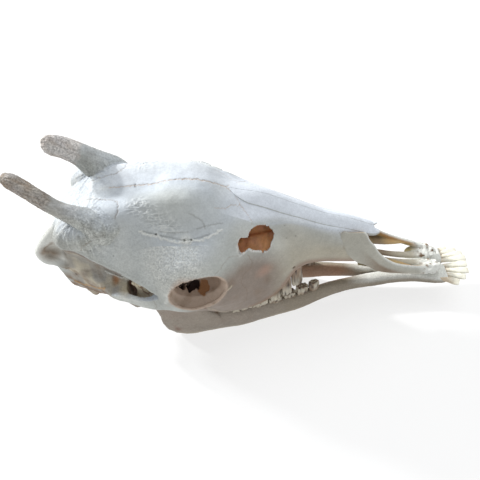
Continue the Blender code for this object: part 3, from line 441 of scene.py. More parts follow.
# Brightness and colour of the surround. Grey and glow of the floor, and in metres its reach and its depth
# below the table. Lamps: name, direction, strength, spread in degrees and colour.
SURROUND = 0.60
SURROUND_COLOUR = (0.98, 0.99, 1.0, 1.0)
FLOOR_GREY = (0.27, 0.27, 0.27, 1.0)
FLOOR_GLOW = 0.71
FLOOR_REACH = 6
FLOOR_DEPTH = 0.0004
LAMPS = (("lamp_rear", (-0.70, 0.49, 0.50), 2.75, 4, (1.0, 0.99, 0.97)),
         ("lamp_low", (-0.79, 0.45, 0.42), 2.0, 5, (0.96, 0.98, 1.0)),
         ("lamp_top", (0.30, 0.40, 0.86), 1.1, 50, (0.97, 0.99, 1.0)))


def rail_at(line, x):
    """Reads a line at x: a smooth curve through its points that doesn't overshoot them."""
    table = np.asarray(line, float)
    stations, values = table[:, 0], table[:, 1:]
    x = min(max(x, stations[0]), stations[-1])
    steps = np.diff(stations)[:, None]
    rises = np.diff(values, axis=0) / steps
    slopes = np.vstack([rises[:1], np.zeros_like(rises[1:]), rises[-1:]])
    before, after = rises[:-1], rises[1:]
    same_way = before * after > 0
    safe = np.where(same_way, before + after, 1.0)
    slopes[1:-1] = np.where(same_way, 2 * before * after / safe, 0.0)
    i = min(int(np.searchsorted(stations, x, side="right")) - 1, len(steps) - 1)
    width = steps[i, 0]
    t = (x - stations[i]) / width
    return (
        (1 + 2 * t) * (1 - t) ** 2 * values[i]
        + t * (1 - t) ** 2 * width * slopes[i]
        + t * t * (3 - 2 * t) * values[i + 1]
        + t * t * (t - 1) * width * slopes[i + 1]
    )


def stations_of(line, count):
    return np.linspace(line[0][0], line[-1][0], count)


def curve_through(points, steps, closed=False):
    """Catmull-Rom curve through points, spaced by the root of their distances so that it makes no loops."""
    points = [np.asarray(p, float) for p in points]
    count = len(points)
    found = []
    for i in range(count if closed else count - 1):
        if closed:
            p0, p1, p2, p3 = (points[(i + k) % count] for k in (-1, 0, 1, 2))
        else:
            p1, p2 = points[i], points[i + 1]
            p0 = points[i - 1] if i else 2 * p1 - p2
            p3 = points[i + 2] if i + 2 < count else 2 * p2 - p1
        t0 = 0.0
        t1 = t0 + max(np.linalg.norm(p1[:3] - p0[:3]), 1e-6) ** 0.5
        t2 = t1 + max(np.linalg.norm(p2[:3] - p1[:3]), 1e-6) ** 0.5
        t3 = t2 + max(np.linalg.norm(p3[:3] - p2[:3]), 1e-6) ** 0.5
        for k in range(steps):
            t = t1 + (t2 - t1) * k / steps
            a1 = ((t1 - t) * p0 + (t - t0) * p1) / (t1 - t0)
            a2 = ((t2 - t) * p1 + (t - t1) * p2) / (t2 - t1)
            a3 = ((t3 - t) * p2 + (t - t2) * p3) / (t3 - t2)
            b1 = ((t2 - t) * a1 + (t - t0) * a2) / (t2 - t0)
            b2 = ((t3 - t) * a2 + (t - t1) * a3) / (t3 - t1)
            found.append(((t2 - t) * b1 + (t - t1) * b2) / (t2 - t1))
    if not closed:
        found.append(points[-1])
    return found


def new_object(name, bm):
    bmesh.ops.recalc_face_normals(bm, faces=bm.faces)
    mesh = bpy.data.meshes.new(name)
    bm.to_mesh(mesh)
    bm.free()
    obj = bpy.data.objects.new(name, mesh)
    bpy.context.scene.collection.objects.link(obj)
    return obj


def loft(name, rings):
    """Closed skin over rings of points, which all have the same count and run the same way."""
    bm = bmesh.new()
    loops = [[bm.verts.new(Vector(p) * MM) for p in ring] for ring in rings]
    sides = len(loops[0])
    for first, second in zip(loops, loops[1:]):
        for k in range(sides):
            bm.faces.new((first[k], first[(k + 1) % sides], second[(k + 1) % sides], second[k]))
    bm.faces.new(loops[0])
    bm.faces.new(loops[-1])
    return new_object(name, bm)


def ellipse(centre, broad, thin, sides, squareness=2.0):
    """Ring of points round centre. Above 2 the squareness fills the corners."""
    ring = []
    for k in range(sides):
        angle = 2 * math.pi * k / sides
        c, s = math.cos(angle), math.sin(angle)
        c = math.copysign(abs(c) ** (2 / squareness), c)
        s = math.copysign(abs(s) ** (2 / squareness), s)
        ring.append(centre + c * broad + s * thin)
    return ring


def cross_ring(x, y, half, low, high, sides, squareness):
    """Ring across X, from its middle, half width, lower and upper edge."""
    centre = np.array((x, y, (low + high) / 2))
    return ellipse(centre, np.array((0, half, 0)), np.array((0, 0, (high - low) / 2)), sides, squareness)


def tube(name, path, side, broad_way, sides=16, steps=4):
    """Swept ellipse. A path point holds X, half width, Z, the radius along broad_way and the one across."""
    rows = curve_through([(x, side * y, z, broad, thin) for x, y, z, broad, thin in path], steps)
    broad_way = np.array((broad_way[0], side * broad_way[1], broad_way[2]), float)
    rings = []
    for i, row in enumerate(rows):
        ahead = rows[min(i + 1, len(rows) - 1)][:3] - rows[max(i - 1, 0)][:3]
        ahead /= np.linalg.norm(ahead)
        broad = broad_way - broad_way.dot(ahead) * ahead
        broad /= np.linalg.norm(broad)
        thin = np.cross(ahead, broad)
        rings.append(ellipse(row[:3], broad * row[3], thin * row[4], sides))
    return loft(name, rings)


def upright_plate(name, rows, side, lean, sides, count):
    """Plate along X, leaning inwards. A row holds X, half width, Z, the tall radius and the thin radius."""
    rings = []
    for x in stations_of(rows, count):
        y, z, tall, thin = rail_at(rows, x)
        centre = np.array((x, side * y, z))
        rings.append(ellipse(centre, np.array((0, -side * lean, 1)) * tall, np.array((0, thin, 0)), sides))
    return loft(name, rings)


def ellipsoid(name, place, side=1, tilt=0.0):
    """Ellipsoid of a centre and radii, tilted down towards its own side."""
    centre, radii = place
    bm = bmesh.new()
    bmesh.ops.create_icosphere(bm, subdivisions=BALL_DETAIL, radius=1.0)
    turn = Matrix.Rotation(math.radians(-side * tilt), 3, "X")
    for vert in bm.verts:
        vert.co = turn @ Vector([c * r for c, r in zip(vert.co, radii)])
        vert.co = (vert.co + Vector((centre[0], side * centre[1], centre[2]))) * MM
    return new_object(name, bm)


def prism(name, outline, low, high, side):
    """Outline in the X-Z plane, stretched between two half widths."""
    return loft(name, [[(x, side * y, z) for x, z in outline] for y in (low, high)])


def box(name, low, high):
    (x0, y0, z0), (x1, y1, z1) = low, high
    corners = ((x0, y0), (x1, y0), (x1, y1), (x0, y1))
    return loft(name, [[(x, y, z) for x, y in corners] for z in (z0, z1)])


def bake(obj):
    """Applies the object's modifiers."""
    graph = bpy.context.evaluated_depsgraph_get()
    mesh = bpy.data.meshes.new_from_object(obj.evaluated_get(graph))
    obj.modifiers.clear()
    old = obj.data
    obj.data = mesh
    bpy.data.meshes.remove(old)
    return obj


def boolean(obj, others, operation):
    """One Boolean with a collection of closed meshes, which it uses up."""
    group = bpy.data.collections.new("tools")
    for other in others:
        group.objects.link(other)
    modifier = obj.modifiers.new("boolean", "BOOLEAN")
    modifier.operation = operation
    modifier.operand_type = "COLLECTION"
    modifier.collection = group
    modifier.solver = "MANIFOLD"
    bake(obj)
    for other in others:
        bpy.data.objects.remove(other)
    bpy.data.collections.remove(group)
    return obj


def union(obj, others):
    return boolean(obj, others, "UNION")


def cut(obj, others):
    return boolean(obj, others, "DIFFERENCE")


def keep_largest(obj):
    """Leaves only the largest closed surface."""
    bm = bmesh.new()
    bm.from_mesh(obj.data)
    left = set(bm.verts)
    shells = []
    while left:
        shell, edge = set(), [left.pop()]
        while edge:
            vert = edge.pop()
            shell.add(vert)
            near = {e.other_vert(vert) for e in vert.link_edges} & left
            left -= near
            edge.extend(near)
        shells.append(shell)
    shells.sort(key=len)
    small = [vert for shell in shells[:-1] for vert in shell]
    bmesh.ops.delete(bm, geom=small, context="VERTS")
    bm.to_mesh(obj.data)
    bm.free()
    return obj


def vault_section(x):
    half = [rail_at(line, x) for line in VAULT_LINES]
    right = [(-p[0], p[1]) for p in half]
    left = [(p[0], p[1]) for p in reversed(half[1:-1])]
    ring = curve_through(right + left, SECTION_STEPS, closed=True)
    return [(x, y, z) for y, z in ring]


def vault():
    return loft("vault", [vault_section(x) for x in stations_of(CREST_LINE, VAULT_STATIONS)])


def back_of_skull():
    pieces = [ellipsoid("occipital_plate", OCCIPITAL_PLATE)]
    for side in (RIGHT, LEFT):
        pieces += [
            ellipsoid("horn_pedestal", HORN_PEDESTAL, side),
            tube("nuchal_ridge", NUCHAL_RIDGE, side, (0, 1, 0)),
            ellipsoid("occipital_condyle", OCCIPITAL_CONDYLE, side),
            tube("paroccipital", PAROCCIPITAL_PROCESS, side, (1, 0, 0)),
            ellipsoid("bulla", AUDITORY_BULLA, side),
            tube("pterygoid", PTERYGOID_WING, side, (1, 0, 0)),
        ]
    return pieces


def temporal_hollow(side):
    rings = []
    for x in stations_of(TEMPORAL_FOSSA, FOSSA_RINGS):
        wall, floor, ceiling = rail_at(TEMPORAL_FOSSA, x)
        rings.append(cross_ring(x, side * FOSSA_REACH, FOSSA_REACH - wall, floor, ceiling, FOSSA_SIDES,
                                FOSSA_SQUARENESS))
    return loft("temporal_hollow", rings)


def coronoid_shaft(side):
    inner = [(x, side * wall) for x, wall, far in CORONOID_SHAFT]
    outer = [(x, side * far) for x, wall, far in reversed(CORONOID_SHAFT)]
    back = CORONOID_SHAFT[0][0]
    return loft("coronoid_shaft", [[(back + (x - back) * share, y, z) for x, y in inner + outer]
                                   for z, share in SHAFT_LEVELS])


def nasal_passage():
    return loft("nasal_passage", [
        cross_ring(x, 0, *rail_at(NASAL_PASSAGE, x), PASSAGE_SIDES, PASSAGE_SQUARENESS)
        for x in stations_of(NASAL_PASSAGE, PASSAGE_RINGS)
    ])


def hollows():
    pieces = [nasal_passage(), ellipsoid("foramen_magnum", FORAMEN_MAGNUM), ellipsoid("choana", CHOANA)]
    for side in (RIGHT, LEFT):
        pieces += [ellipsoid("hollow", place, side) for place in SIDE_HOLLOWS]
        pieces += [
            temporal_hollow(side),
            coronoid_shaft(side),
            prism("face_opening", FACE_OPENING, *FACE_OPENING_DEPTH, side),
        ]
    return pieces


def roof_height(x, y):
    """Height of the roof of the nose at a half width, from the crest and shoulder lines."""
    crest = rail_at(CREST_LINE, x)[1]
    shoulder_width, shoulder = rail_at(SHOULDER_LINE, x)
    return crest - (crest - shoulder) * (abs(y) / shoulder_width) ** 2 + NASAL_PROUD


def half_space(side, first, last):
    """Block that covers everything across the midline from the given side."""
    near, far = -side * EVERYTHING, side * SUTURE_GAP / 2
    return box("middle", (first, min(near, far), -EVERYTHING), (last, max(near, far), EVERYTHING))


def jaw_body(side):
    rings = []
    for x in stations_of(JAW_BODY, JAW_RINGS):
        y, low, high, half = rail_at(JAW_BODY, x)
        rings.append(cross_ring(x, side * y, half, low, high, JAW_SIDES, JAW_SQUARENESS))
    return loft("jaw_body", rings)


def jaw_branch(side):
    rings = []
    for z in stations_of(JAW_BRANCH, BRANCH_RINGS):
        rear, front, y, half = rail_at(JAW_BRANCH, z)
        centre = np.array(((rear + front) / 2, side * y, z))
        length = np.array(((front - rear) / 2, 0, 0))
        rings.append(ellipse(centre, length, np.array((0, half, 0)), BRANCH_SIDES, JAW_SQUARENESS))
    return loft("jaw_branch", rings)


def melted(obj, grid):
    """Melts the joins of a bone into one fine surface."""
    remesh = obj.modifiers.new("remesh", "REMESH")
    remesh.mode = "VOXEL"
    remesh.voxel_size = grid * MM
    smooth = obj.modifiers.new("smooth", "SMOOTH")
    smooth.factor = SMOOTH_FACTOR
    smooth.iterations = SMOOTH_PASSES
    return keep_largest(bake(obj))


def noise(points, size, seed):
    """Smooth noise from -1 to 1, with lumps about as wide as the size."""
    table = np.random.default_rng(seed).uniform(-1, 1, (NOISE_CELLS,) * 3)
    place = points / size
    cell = np.floor(place).astype(int)
    part = place - cell
    part = part * part * (3 - 2 * part)
    total = np.zeros(len(points))
    for corner in range(8):
        step = np.array((corner & 1, corner >> 1 & 1, corner >> 2))
        share = np.prod(np.where(step, part, 1 - part), axis=1)
        i, j, k = ((cell + step) % NOISE_CELLS).T
        total += share * table[i, j, k]
    return total


def linear(colour):
    """Light from a display colour."""
    value = np.asarray(colour, float) / 255
    return np.where(value < 0.04045, value / 12.92, ((value + 0.055) / 1.055) ** 2.4)


def unit(value):
    """Keeps a value between 0 and 1."""
    return np.clip(value, 0, 1)


def fade(distance, width):
    """1 at the middle and 0 beyond the width, with a smooth slope."""
    t = unit(1 - distance / width)
    return t * t * (3 - 2 * t)


def oval(points, centre, radii):
    """1 at the middle of an oval in the X-Z plane and 0 beyond its edge."""
    x, y, z = points.T
    return fade(np.hypot((x - centre[0]) / radii[0], (z - centre[1]) / radii[1]), 1.0)


def values_of(items, name):
    """Reads a vector from each item of a mesh."""
    flat = np.empty(len(items) * 3)
    items.foreach_get(name, flat)
    return flat.reshape(-1, 3)


class Surface:
    """A bone's points, with the relief and stains that it is given one after another."""

    def __init__(self, obj, colour):
        self.obj = obj
        mesh = obj.data
        count = len(mesh.vertices)
        self.points = values_of(mesh.vertices, "co") / MM
        self.normals = values_of(mesh.vertex_normals, "vector")
        self.height = np.zeros(count)
        self.colour = np.tile(linear(colour), (count, 1))
        self.rough = np.zeros(count)

    def places(self):
        """X, Y, Z and half width of every point."""
        x, y, z = self.points.T
        return x, y, z, abs(y)

    def stain(self, share, colour):
        """Blends a colour in by a share for each point."""
        share = unit(share)[:, None]
        self.colour = self.colour * (1 - share) + linear(colour) * share

    def stain_near(self, near, share, colour):
        """Blends a colour in at some of the points."""
        everywhere = np.zeros(len(self.points))
        everywhere[near] = share
        self.stain(everywhere, colour)

    def soften(self, share):
        """Evens out the surface where the share is high, in rounds of averaging along the edges."""
        mesh = self.obj.data
        edges = np.empty(len(mesh.edges) * 2, int)
        mesh.edges.foreach_get("vertices", edges)
        edges = edges.reshape(-1, 2)
        edges = edges[(share[edges] > 0).all(axis=1)]
        first, second = np.concatenate((edges, edges[:, ::-1])).T
        count = np.maximum(np.bincount(first, minlength=len(share)), 1)
        for _ in range(SOFTEN_ROUNDS):
            for axis in range(3):
                total = np.bincount(first, self.points[second, axis], minlength=len(share))
                self.points[:, axis] += share * SOFTEN_STEP * (total / count - self.points[:, axis])

    def refresh(self):
        """Takes the normals again after the points have moved far."""
        mesh = self.obj.data
        mesh.vertices.foreach_set("co", (self.points * MM).ravel())
        mesh.update()
        self.normals = values_of(mesh.vertex_normals, "vector")

    def around(self, path, reach):
        """Points near a path laid on the surface, with their distances from it."""
        path = np.asarray(path, float)
        margin = reach + PATH_MARGIN
        inside = (self.points > path.min(0) - margin) & (self.points < path.max(0) + margin)
        near = np.flatnonzero(inside.all(axis=1))
        if not len(near):
            return near, np.zeros(0)
        places = self.points[near].astype(np.float32)
        nearest = np.full(len(near), 1e9, np.float32)
        for place in path.astype(np.float32):
            on = places[np.argmin(((places - place) ** 2).sum(1))]
            nearest = np.minimum(nearest, ((places - on) ** 2).sum(1))
        return near, np.sqrt(nearest)

    def away(self, centre, radii, side):
        """Distance from a centre, 1 at the radii."""
        centre = np.array((centre[0], side * centre[1], centre[2]), float)
        return np.linalg.norm((self.points - centre) / np.asarray(radii, float), axis=1)

    def patch(self, centre, radii, colour, share, depth, side, seed):
        """Stain or pit with a torn edge."""
        ragged = 1 + PATCH_RAGGED * noise(self.points, PATCH_GRAIN, seed)
        amount = unit((ragged - self.away(centre, radii, side)) / PATCH_EDGE)
        self.height -= depth * amount
        self.stain(share * amount, colour)

    def line(self, path, side, width, depth, colour, share, jagged=0.0, seed=1):
        """Groove along a path, or a ridge where the depth is negative."""
        points = [(x, side * y, z) for x, y, z in path]
        length = sum(math.dist(a, b) for a, b in zip(points, points[1:]))
        steps = max(2, int(length / LINE_SPACING / (len(points) - 1)))
        fine = np.array(curve_through(points, steps))
        for axis in range(3):
            fine[:, axis] += jagged * noise(fine, JAG_SIZE, seed * 7 + axis)
        near, distance = self.around(fine, width)
        amount = fade(distance, width)
        self.height[near] -= depth * amount
        self.stain_near(near, share * amount, colour)

    def spot(self, centre, radii, depth, colour=None, share=1.0, side=1):
        """Dent and stain that fade out from a centre."""
        amount = fade(self.away(centre, radii, side), 1.0)
        self.height -= depth * amount
        if colour is not None:
            self.stain(share * amount, colour)

    def finish(self, material):
        """Moves the points into the frame and hands the painted values to the material."""
        mesh = self.obj.data
        moved = (self.points + self.normals * self.height[:, None] - MIDDLE) * MM
        moved = np.clip(moved, *np.array(cad_box))
        mesh.vertices.foreach_set("co", moved.ravel())
        attribute = mesh.color_attributes.new("tone", "FLOAT_COLOR", "POINT")
        rgba = np.ones((len(self.points), 4))
        rgba[:, :3] = self.colour
        attribute.data.foreach_set("color", rgba.ravel())
        rough = mesh.attributes.new("rough", "FLOAT", "POINT")
        rough.data.foreach_set("value", unit(self.rough))
        mesh.shade_smooth()
        mesh.set_sharp_from_angle(angle=math.radians(SHARP_ANGLE))
        mesh.materials.clear()
        mesh.materials.append(material)
        mesh.update()
        return self.obj


class Shading:
    """Nodes of one material, each made and linked by a short call."""

    def __init__(self, name):
        self.material = bpy.data.materials.new(name)
        self.material.use_nodes = True
        self.nodes = self.material.node_tree.nodes
        self.link = self.material.node_tree.links.new
        self.shader = self.nodes["Principled BSDF"].inputs
        self.place = self.nodes.new("ShaderNodeTexCoord").outputs["Object"]

    def painted(self, name, output):
        """Value painted on the points."""
        node = self.nodes.new("ShaderNodeAttribute")
        node.attribute_name = name
        return node.outputs[output]

    def texture(self, scale, detail, distortion=0.0):
        """Cloudy noise."""
        node = self.nodes.new("ShaderNodeTexNoise")
        node.inputs["Scale"].default_value = scale
        node.inputs["Detail"].default_value = detail
        node.inputs["Distortion"].default_value = distortion
        self.link(self.place, node.inputs["Vector"])
        return node.outputs["Fac"]

    def cells(self, scale):
        """Distance from the middle of small cells."""
        node = self.nodes.new("ShaderNodeTexVoronoi")
        node.inputs["Scale"].default_value = scale
        self.link(self.place, node.inputs["Vector"])
        return node.outputs["Distance"]

    def spread(self, value, low, high, to_low, to_high):
        """Stretches one range of values to another."""
        node = self.nodes.new("ShaderNodeMapRange")
        for key, amount in zip(("From Min", "From Max", "To Min", "To Max"), (low, high, to_low, to_high)):
            node.inputs[key].default_value = amount
        self.link(value, node.inputs["Value"])
        return node.outputs["Result"]

    def combine(self, operation, first, second):
        """Sum or product of two values. MULTIPLY_ADD adds 1 to their product."""
        node = self.nodes.new("ShaderNodeMath")
        node.operation = operation
        node.inputs[2].default_value = 1.0
        self.link(first, node.inputs[0])
        self.link(second, node.inputs[1])
        return node.outputs["Value"]


def bone_tint(shading, rough, mottle):
    """The painted tone, mottled by broad clouds, small clouds, veins and specks."""
    texture, spread, combine = shading.texture, shading.spread, shading.combine
    broad = spread(texture(28, 5), 0.3, 0.7, 1 - mottle, 1 + mottle * 0.4)
    small = spread(texture(160, 3), 0.3, 0.7, 1 - mottle * 0.6, 1.0)
    vein = spread(spread(texture(65, 6, 1.6), 0.47, 0.53, 0.0, 1.0), 0, 1, 1 - mottle * 0.35, 1.0)
    speck = spread(texture(430, 2), 0.35, 0.65, -1.0, 1.0)
    specks = combine("MULTIPLY_ADD", speck, spread(rough, 0, 1, mottle * 0.5, mottle * 1.7))
    shade = combine("MULTIPLY", combine("MULTIPLY", combine("MULTIPLY", broad, small), vein), specks)
    tint = shading.nodes.new("ShaderNodeVectorMath")
    tint.operation = "SCALE"
    shading.link(shading.painted("tone", "Color"), tint.inputs[0])
    shading.link(shade, tint.inputs["Scale"])
    shading.link(tint.outputs["Vector"], shading.shader["Base Color"])


def bone_bumps(shading, rough, grain, pores):
    """Relief too fine for the mesh: coarse grain, fine grain and pores."""
    texture, spread, combine = shading.texture, shading.spread, shading.combine
    coarse = combine("MULTIPLY", texture(230, 5, 0.8), spread(rough, 0, 1, 0.25 * grain, 2.4))
    fine = combine("MULTIPLY", texture(900, 3), spread(rough, 0, 1, 0.12 * grain, 0.5))
    pits = combine("MULTIPLY", spread(shading.cells(420), 0.0, 0.35, 0.0, 1.0),
                   spread(rough, 0, 1, pores, 1.0))
    bump = shading.nodes.new("ShaderNodeBump")
    bump.inputs["Strength"].default_value = BUMP_STRENGTH
    bump.inputs["Distance"].default_value = BUMP_DEPTH
    shading.link(combine("ADD", combine("ADD", coarse, fine), pits), bump.inputs["Height"])
    shading.link(bump.outputs["Normal"], shading.shader["Normal"])


def bone_material(name, grain=1.0, pores=0.0, roughness=0.62, mottle=0.10):
    """Dry bone: the painted tone with mottling, fine grain and pores."""
    shading = Shading(name)
    shading.shader["Specular IOR Level"].default_value = BONE_SHINE
    rough = shading.painted("rough", "Fac")
    bone_tint(shading, rough, mottle)
    gloss = shading.spread(shading.texture(90, 3), 0.3, 0.7, roughness - 0.1, roughness + 0.12)
    shading.link(gloss, shading.shader["Roughness"])
    bone_bumps(shading, rough, grain, pores)


def settle(surface, material, name, slot, *nodes):
    """Finishes a bone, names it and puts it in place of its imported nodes."""
    obj = surface.finish(bpy.data.materials[material])
    obj.name = name
    obj.data.name = name
    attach(obj, "root")
    if nodes:
        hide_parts(*nodes)


def nose_cavity():
    """Hollow of the nose, a wall's thickness inside the face."""
    first, last, floor = CAVITY
    thicker, taper = CAVITY_TAPER
    rings = []
    for x in np.linspace(first, last, CAVITY_RINGS):
        ring = np.array([(y, z) for px, y, z in vault_section(x)])
        ahead = np.roll(ring, -1, axis=0) - np.roll(ring, 1, axis=0)
        outward = np.column_stack((ahead[:, 1], -ahead[:, 0]))
        outward /= np.linalg.norm(outward, axis=1)[:, None]
        if (outward * (ring - ring.mean(0))).sum() < 0:
            outward = -outward
        inner = ring - outward * (FACE_WALL + thicker * max(0.0, 1 - (x - first) / taper) ** 2)
        inner[:, 1] = np.maximum(inner[:, 1], floor)
        rings.append([(x, y, z) for y, z in inner])
    return loft("nose_cavity", rings)


def concha(side):
    """Thin scroll of bone inside the face opening."""
    rows = curve_through(CONCHA, 5)
    rings = []
    for x in stations_of(CONCHA_WALL, CONCHA_RINGS):
        sway = sum(height * math.sin(x / length) for height, length in CONCHA_WAVES)
        reach = rail_at(CONCHA_WALL, x)[0] / CONCHA[0][0]
        top = [(y * reach, z + sway * math.sin(y / 9)) for y, z in rows]
        under = [(y - CONCHA_THICKNESS[0], z - CONCHA_THICKNESS[1]) for y, z in reversed(top)]
        rings.append([(x, side * y, z) for y, z in top + under])
    surface = Surface(loft("concha", rings), INNER)
    surface.stain(unit(noise(surface.points, 9, 17) + 0.1) * 0.8, PINK)
    surface.stain(unit(noise(surface.points, 4, 18)) * 0.7, ORANGE)
    settle(surface, "skull_bone", f"nose_scroll_{WORDS[side]}", "bone")


def bone_tones(surface):
    """Painted sky light: upward faces tinted bluish and the sides left greyer, with a little unevenness."""
    points, up = surface.points, surface.normals[:, 2]
    surface.height += 0.2 * noise(points, 9, 3) + 0.1 * noise(points, 4, 4)
    # Painted sky light: upward faces are tinted bluish.
    surface.stain(unit(up * 1.6 - 0.5), SKY_LIGHT_TINT)
    surface.stain(unit(noise(points, 34, 5)) * 0.35, WHITE)


def ridged(points, size, seed, power=3):
    """Narrow crests between rounded hollows."""
    return (1 - abs(noise(points, size, seed))) ** power


def torn_opening(side):
    """Opening in the face, with a jagged edge."""
    rng = random.Random(TEAR_SEED)
    outline = curve_through(FACE_OPENING, OPENING_STEPS, closed=True)
    torn = [(x + rng.uniform(-TEAR, TEAR), z + rng.uniform(-TEAR, TEAR)) for x, z in outline]
    return prism("face_opening", torn, *FACE_OPENING_DEPTH, side)


def without_slivers(obj):
    """Closes up edges that are too short to see, which a cut leaves behind."""
    bm = bmesh.new()
    bm.from_mesh(obj.data)
    bmesh.ops.dissolve_degenerate(bm, dist=SLIVER * MM, edges=bm.edges)
    bm.to_mesh(obj.data)
    bm.free()
    return obj


def temple_share(points):
    """Where a point lies in the hollow below the temporal line, from 0 to 1, and the height of that line."""
    x, y, z = points.T
    rim_x, rim_width, rim_z = np.array(TEMPORAL_RIM).T
    rim = np.interp(x, rim_x, rim_z)
    share = unit((rim - 3 - z) / 5) * (x < 172) * (abs(y) < 92) * unit((x - 12) / 14)
    return share, rim


def porous_band(surface):
    """Coarse bone behind the orbits."""
    x, y, z, width = surface.places()
    porous = unit(oval(surface.points, (204, 236), (58, 64)) * 1.8) * (width > 78)
    grain = ridged(surface.points, 3.2, 9)
    surface.rough += porous * 0.9
    surface.height += porous * 1.1 * grain * (x > 164)
    surface.stain(porous * 0.45, WHITE)
    surface.stain(porous * unit(grain - 0.45) * 1.2, WHITE)


def horn_fan(surface):
    """Grain that fans out from the foot of each horn, with painted highlights on its crests, and painted shade
    in its troughs and on the sides of the foot.
    """
    points = surface.points
    x, y, z, width = surface.places()
    fan = unit(oval(points, (86, 276), (62, 50)) * 1.6)
    ahead, aside = x - 92, width - 46
    reach = np.hypot(ahead, aside)
    turn = np.stack((ahead / reach, aside / reach, 0.014 * reach), axis=1) * 30
    turn += 1.2 * noise(points, 12, 12)[:, None]
    broad = ridged(turn, 5.5, 10, 2)
    grain = ridged(turn * 2, 4.5, 15, 2)
    surface.height += fan * (0.8 * broad + 0.6 * grain)
    # Painted highlights on the broad crests, painted shade in the troughs of the grain and on the sides of the
    # foot.
    surface.stain(fan * unit(broad - 0.5) * 0.9, WHITE)
    surface.stain(fan * unit(0.35 - grain) * 1.3 * (width > 36), SHADE)
    surface.stain(fan * unit(noise(points, 10, 16) - 0.1) * (width > 52) * 0.6, SHADE)
    surface.rough += fan * 0.4 + 0.3 * (width > 60) * (x < 170)


def brow_veins(surface):
    """Fine branching veins on the brow, with painted highlights on their crests and painted shade between
    them.
    """
    for side in (RIGHT, LEFT):
        strip = curve_through([(x, side * y, z) for x, y, z in DENDRITES], DENDRITE_STEPS)
        near, distance = surface.around(strip, DENDRITE_REACH)
        amount = fade(distance, DENDRITE_REACH)
        points = surface.points[near]
        veins = ridged(points * (0.6, 1, 1) + 1.5 * noise(points, 8, 13)[:, None], 3.0, 11, 4)
        surface.height[near] += amount * 1.3 * veins
        # Painted highlight on the vein crests, painted shade between them.
        surface.stain_near(near, unit(amount * unit(veins - 0.4)), WHITE)
        surface.stain_near(near, unit(amount * (unit(0.3 - veins) * 0.9)), SHADE)


def relief(surface):
    porous_band(surface)
    horn_fan(surface)
    brow_veins(surface)


def torn_rim(surface, side):
    """Pale, thinned edge round the opening in the face."""
    points = surface.points
    x, y, z, width = surface.places()
    near = np.flatnonzero((x > 278) & (x < 334) & (side * y > 44) & (z > 188) & (z < 246))
    outline = np.array(curve_through(FACE_OPENING, OPENING_STEPS, closed=True))
    away = np.linalg.norm(points[near][:, None, (0, 2)] - outline[None], axis=2).min(axis=1)
    share = np.zeros(len(x))
    share[near] = fade(away, 2.6)
    surface.stain(share * unit(noise(points, 5, 93) + 0.6), WHITE)
    surface.height += share * 0.5 * noise(points, 2.5, 92)


def cranium_body():
    body = union(vault(), back_of_skull())
    cut(body, hollows() + [nose_cavity()])
    melted(body, CRANIUM_GRID)
    return keep_largest(without_slivers(cut(body, [torn_opening(RIGHT), torn_opening(LEFT)])))


def top_tones(surface):
    """Top of the skull: painted light on upward faces of the far side and of the rostrum, painted shade on the
    roof and the horn pedestals, and the swelling behind the right horn.
    """
    x, y, z, width = surface.places()
    up = surface.normals[:, 2]
    surface.spot((50, 64, 266), (22, 22, 28), -5.0, side=RIGHT)
    for side in (RIGHT, LEFT):
        # Painted shade on the roof between the horns and the brow, taking the painted sky light back to plain
        # bone.
        surface.spot((205, 34, 290), (70, 34, 40), 0.0, PALE, 0.9, side)
    # Painted top light: upward faces of the far side, towards the lamps, are brighter.
    surface.stain(unit(y / 5) * (z > 262) * unit((x - 100) / 30) * unit((up - 0.5) * 4) * 0.6, TOP_LIGHT)
    # Painted shade on the horn pedestals.
    surface.stain(oval(surface.points, (58, 266), (26, 26)) * (width > 40) * 0.5, SHADE)
    # Painted top light on the upward-facing rostrum.
    surface.stain(unit((x - 262) / 40) * unit((up - 0.52) * 5) * (width < 40), TOP_LIGHT)


def temple_tones(surface, temple, rim):
    """Blotched hollow below the temporal line, with painted shade under its rim."""
    points = surface.points
    x, y, z, width = surface.places()
    surface.stain(temple * 0.8, TEMPLE)
    surface.stain(temple * unit(noise(points, 15, 35) * 2) * 0.6, CREAM)
    surface.stain(temple * unit(noise(points, 11, 36) * 2 - 0.3) * 0.6, BROWN)
    surface.height += temple * (noise(points, 16, 37) + 0.7 * ridged(points, 7, 38))
    # Painted shade on the downward faces under the temporal rim.
    below = (x > 30) & (x < 160) & (surface.normals[:, 2] < 0.35) & (temple > 0)
    surface.stain(fade(abs(z - rim + 7), 10) * below * 0.8, UNDER_RIM_SHADE)


def rear_tones(surface):
    """Brown lower rear of the skull, and a painted highlight on the nuchal lobe above it."""
    x, y, z, width = surface.places()
    low_rear = unit((172 - z) / 20) * (x < 100)
    surface.stain(low_rear * unit(0.6 + noise(surface.points, 12, 6)), BROWN)
    # Painted highlight on the nuchal lobe.
    surface.stain(unit((z - 196) / 10) * unit((34 - x) / 10), WHITE)


def cheek_tones(surface):
    """Brownish cheek, greyer rostrum, and the brown edge above the teeth."""
    points = surface.points
    x, y, z, width = surface.places()
    cheek = unit((1.12 - np.hypot((x - 280) / 84, (z - 128) / 78)) * 2.6) * (width > 20)
    surface.stain(cheek * 0.9, PINKISH)
    surface.stain(cheek * unit(noise(points, 16, 19)) * 0.5, BROWN)
    surface.stain(oval(points, (318, 163), (20, 15)) * 0.28 * (width > 30), PINK)
    surface.stain(unit((x - 320) / 40) * unit(1.1 - surface.normals[:, 2] * 1.5), ROSTRUM)
    gum_x, gum_width, gum_z = np.array(GUM_LINE).T
    above = z - np.interp(x, gum_x, gum_z)
    surface.stain(fade(abs(above), 20) * (x > 285) * (x < 365) * (width > 30) * 0.9, GUM_BROWN)
    surface.stain(fade(abs(above - 8), 18) * (x > 340) * 0.9, STRIP)


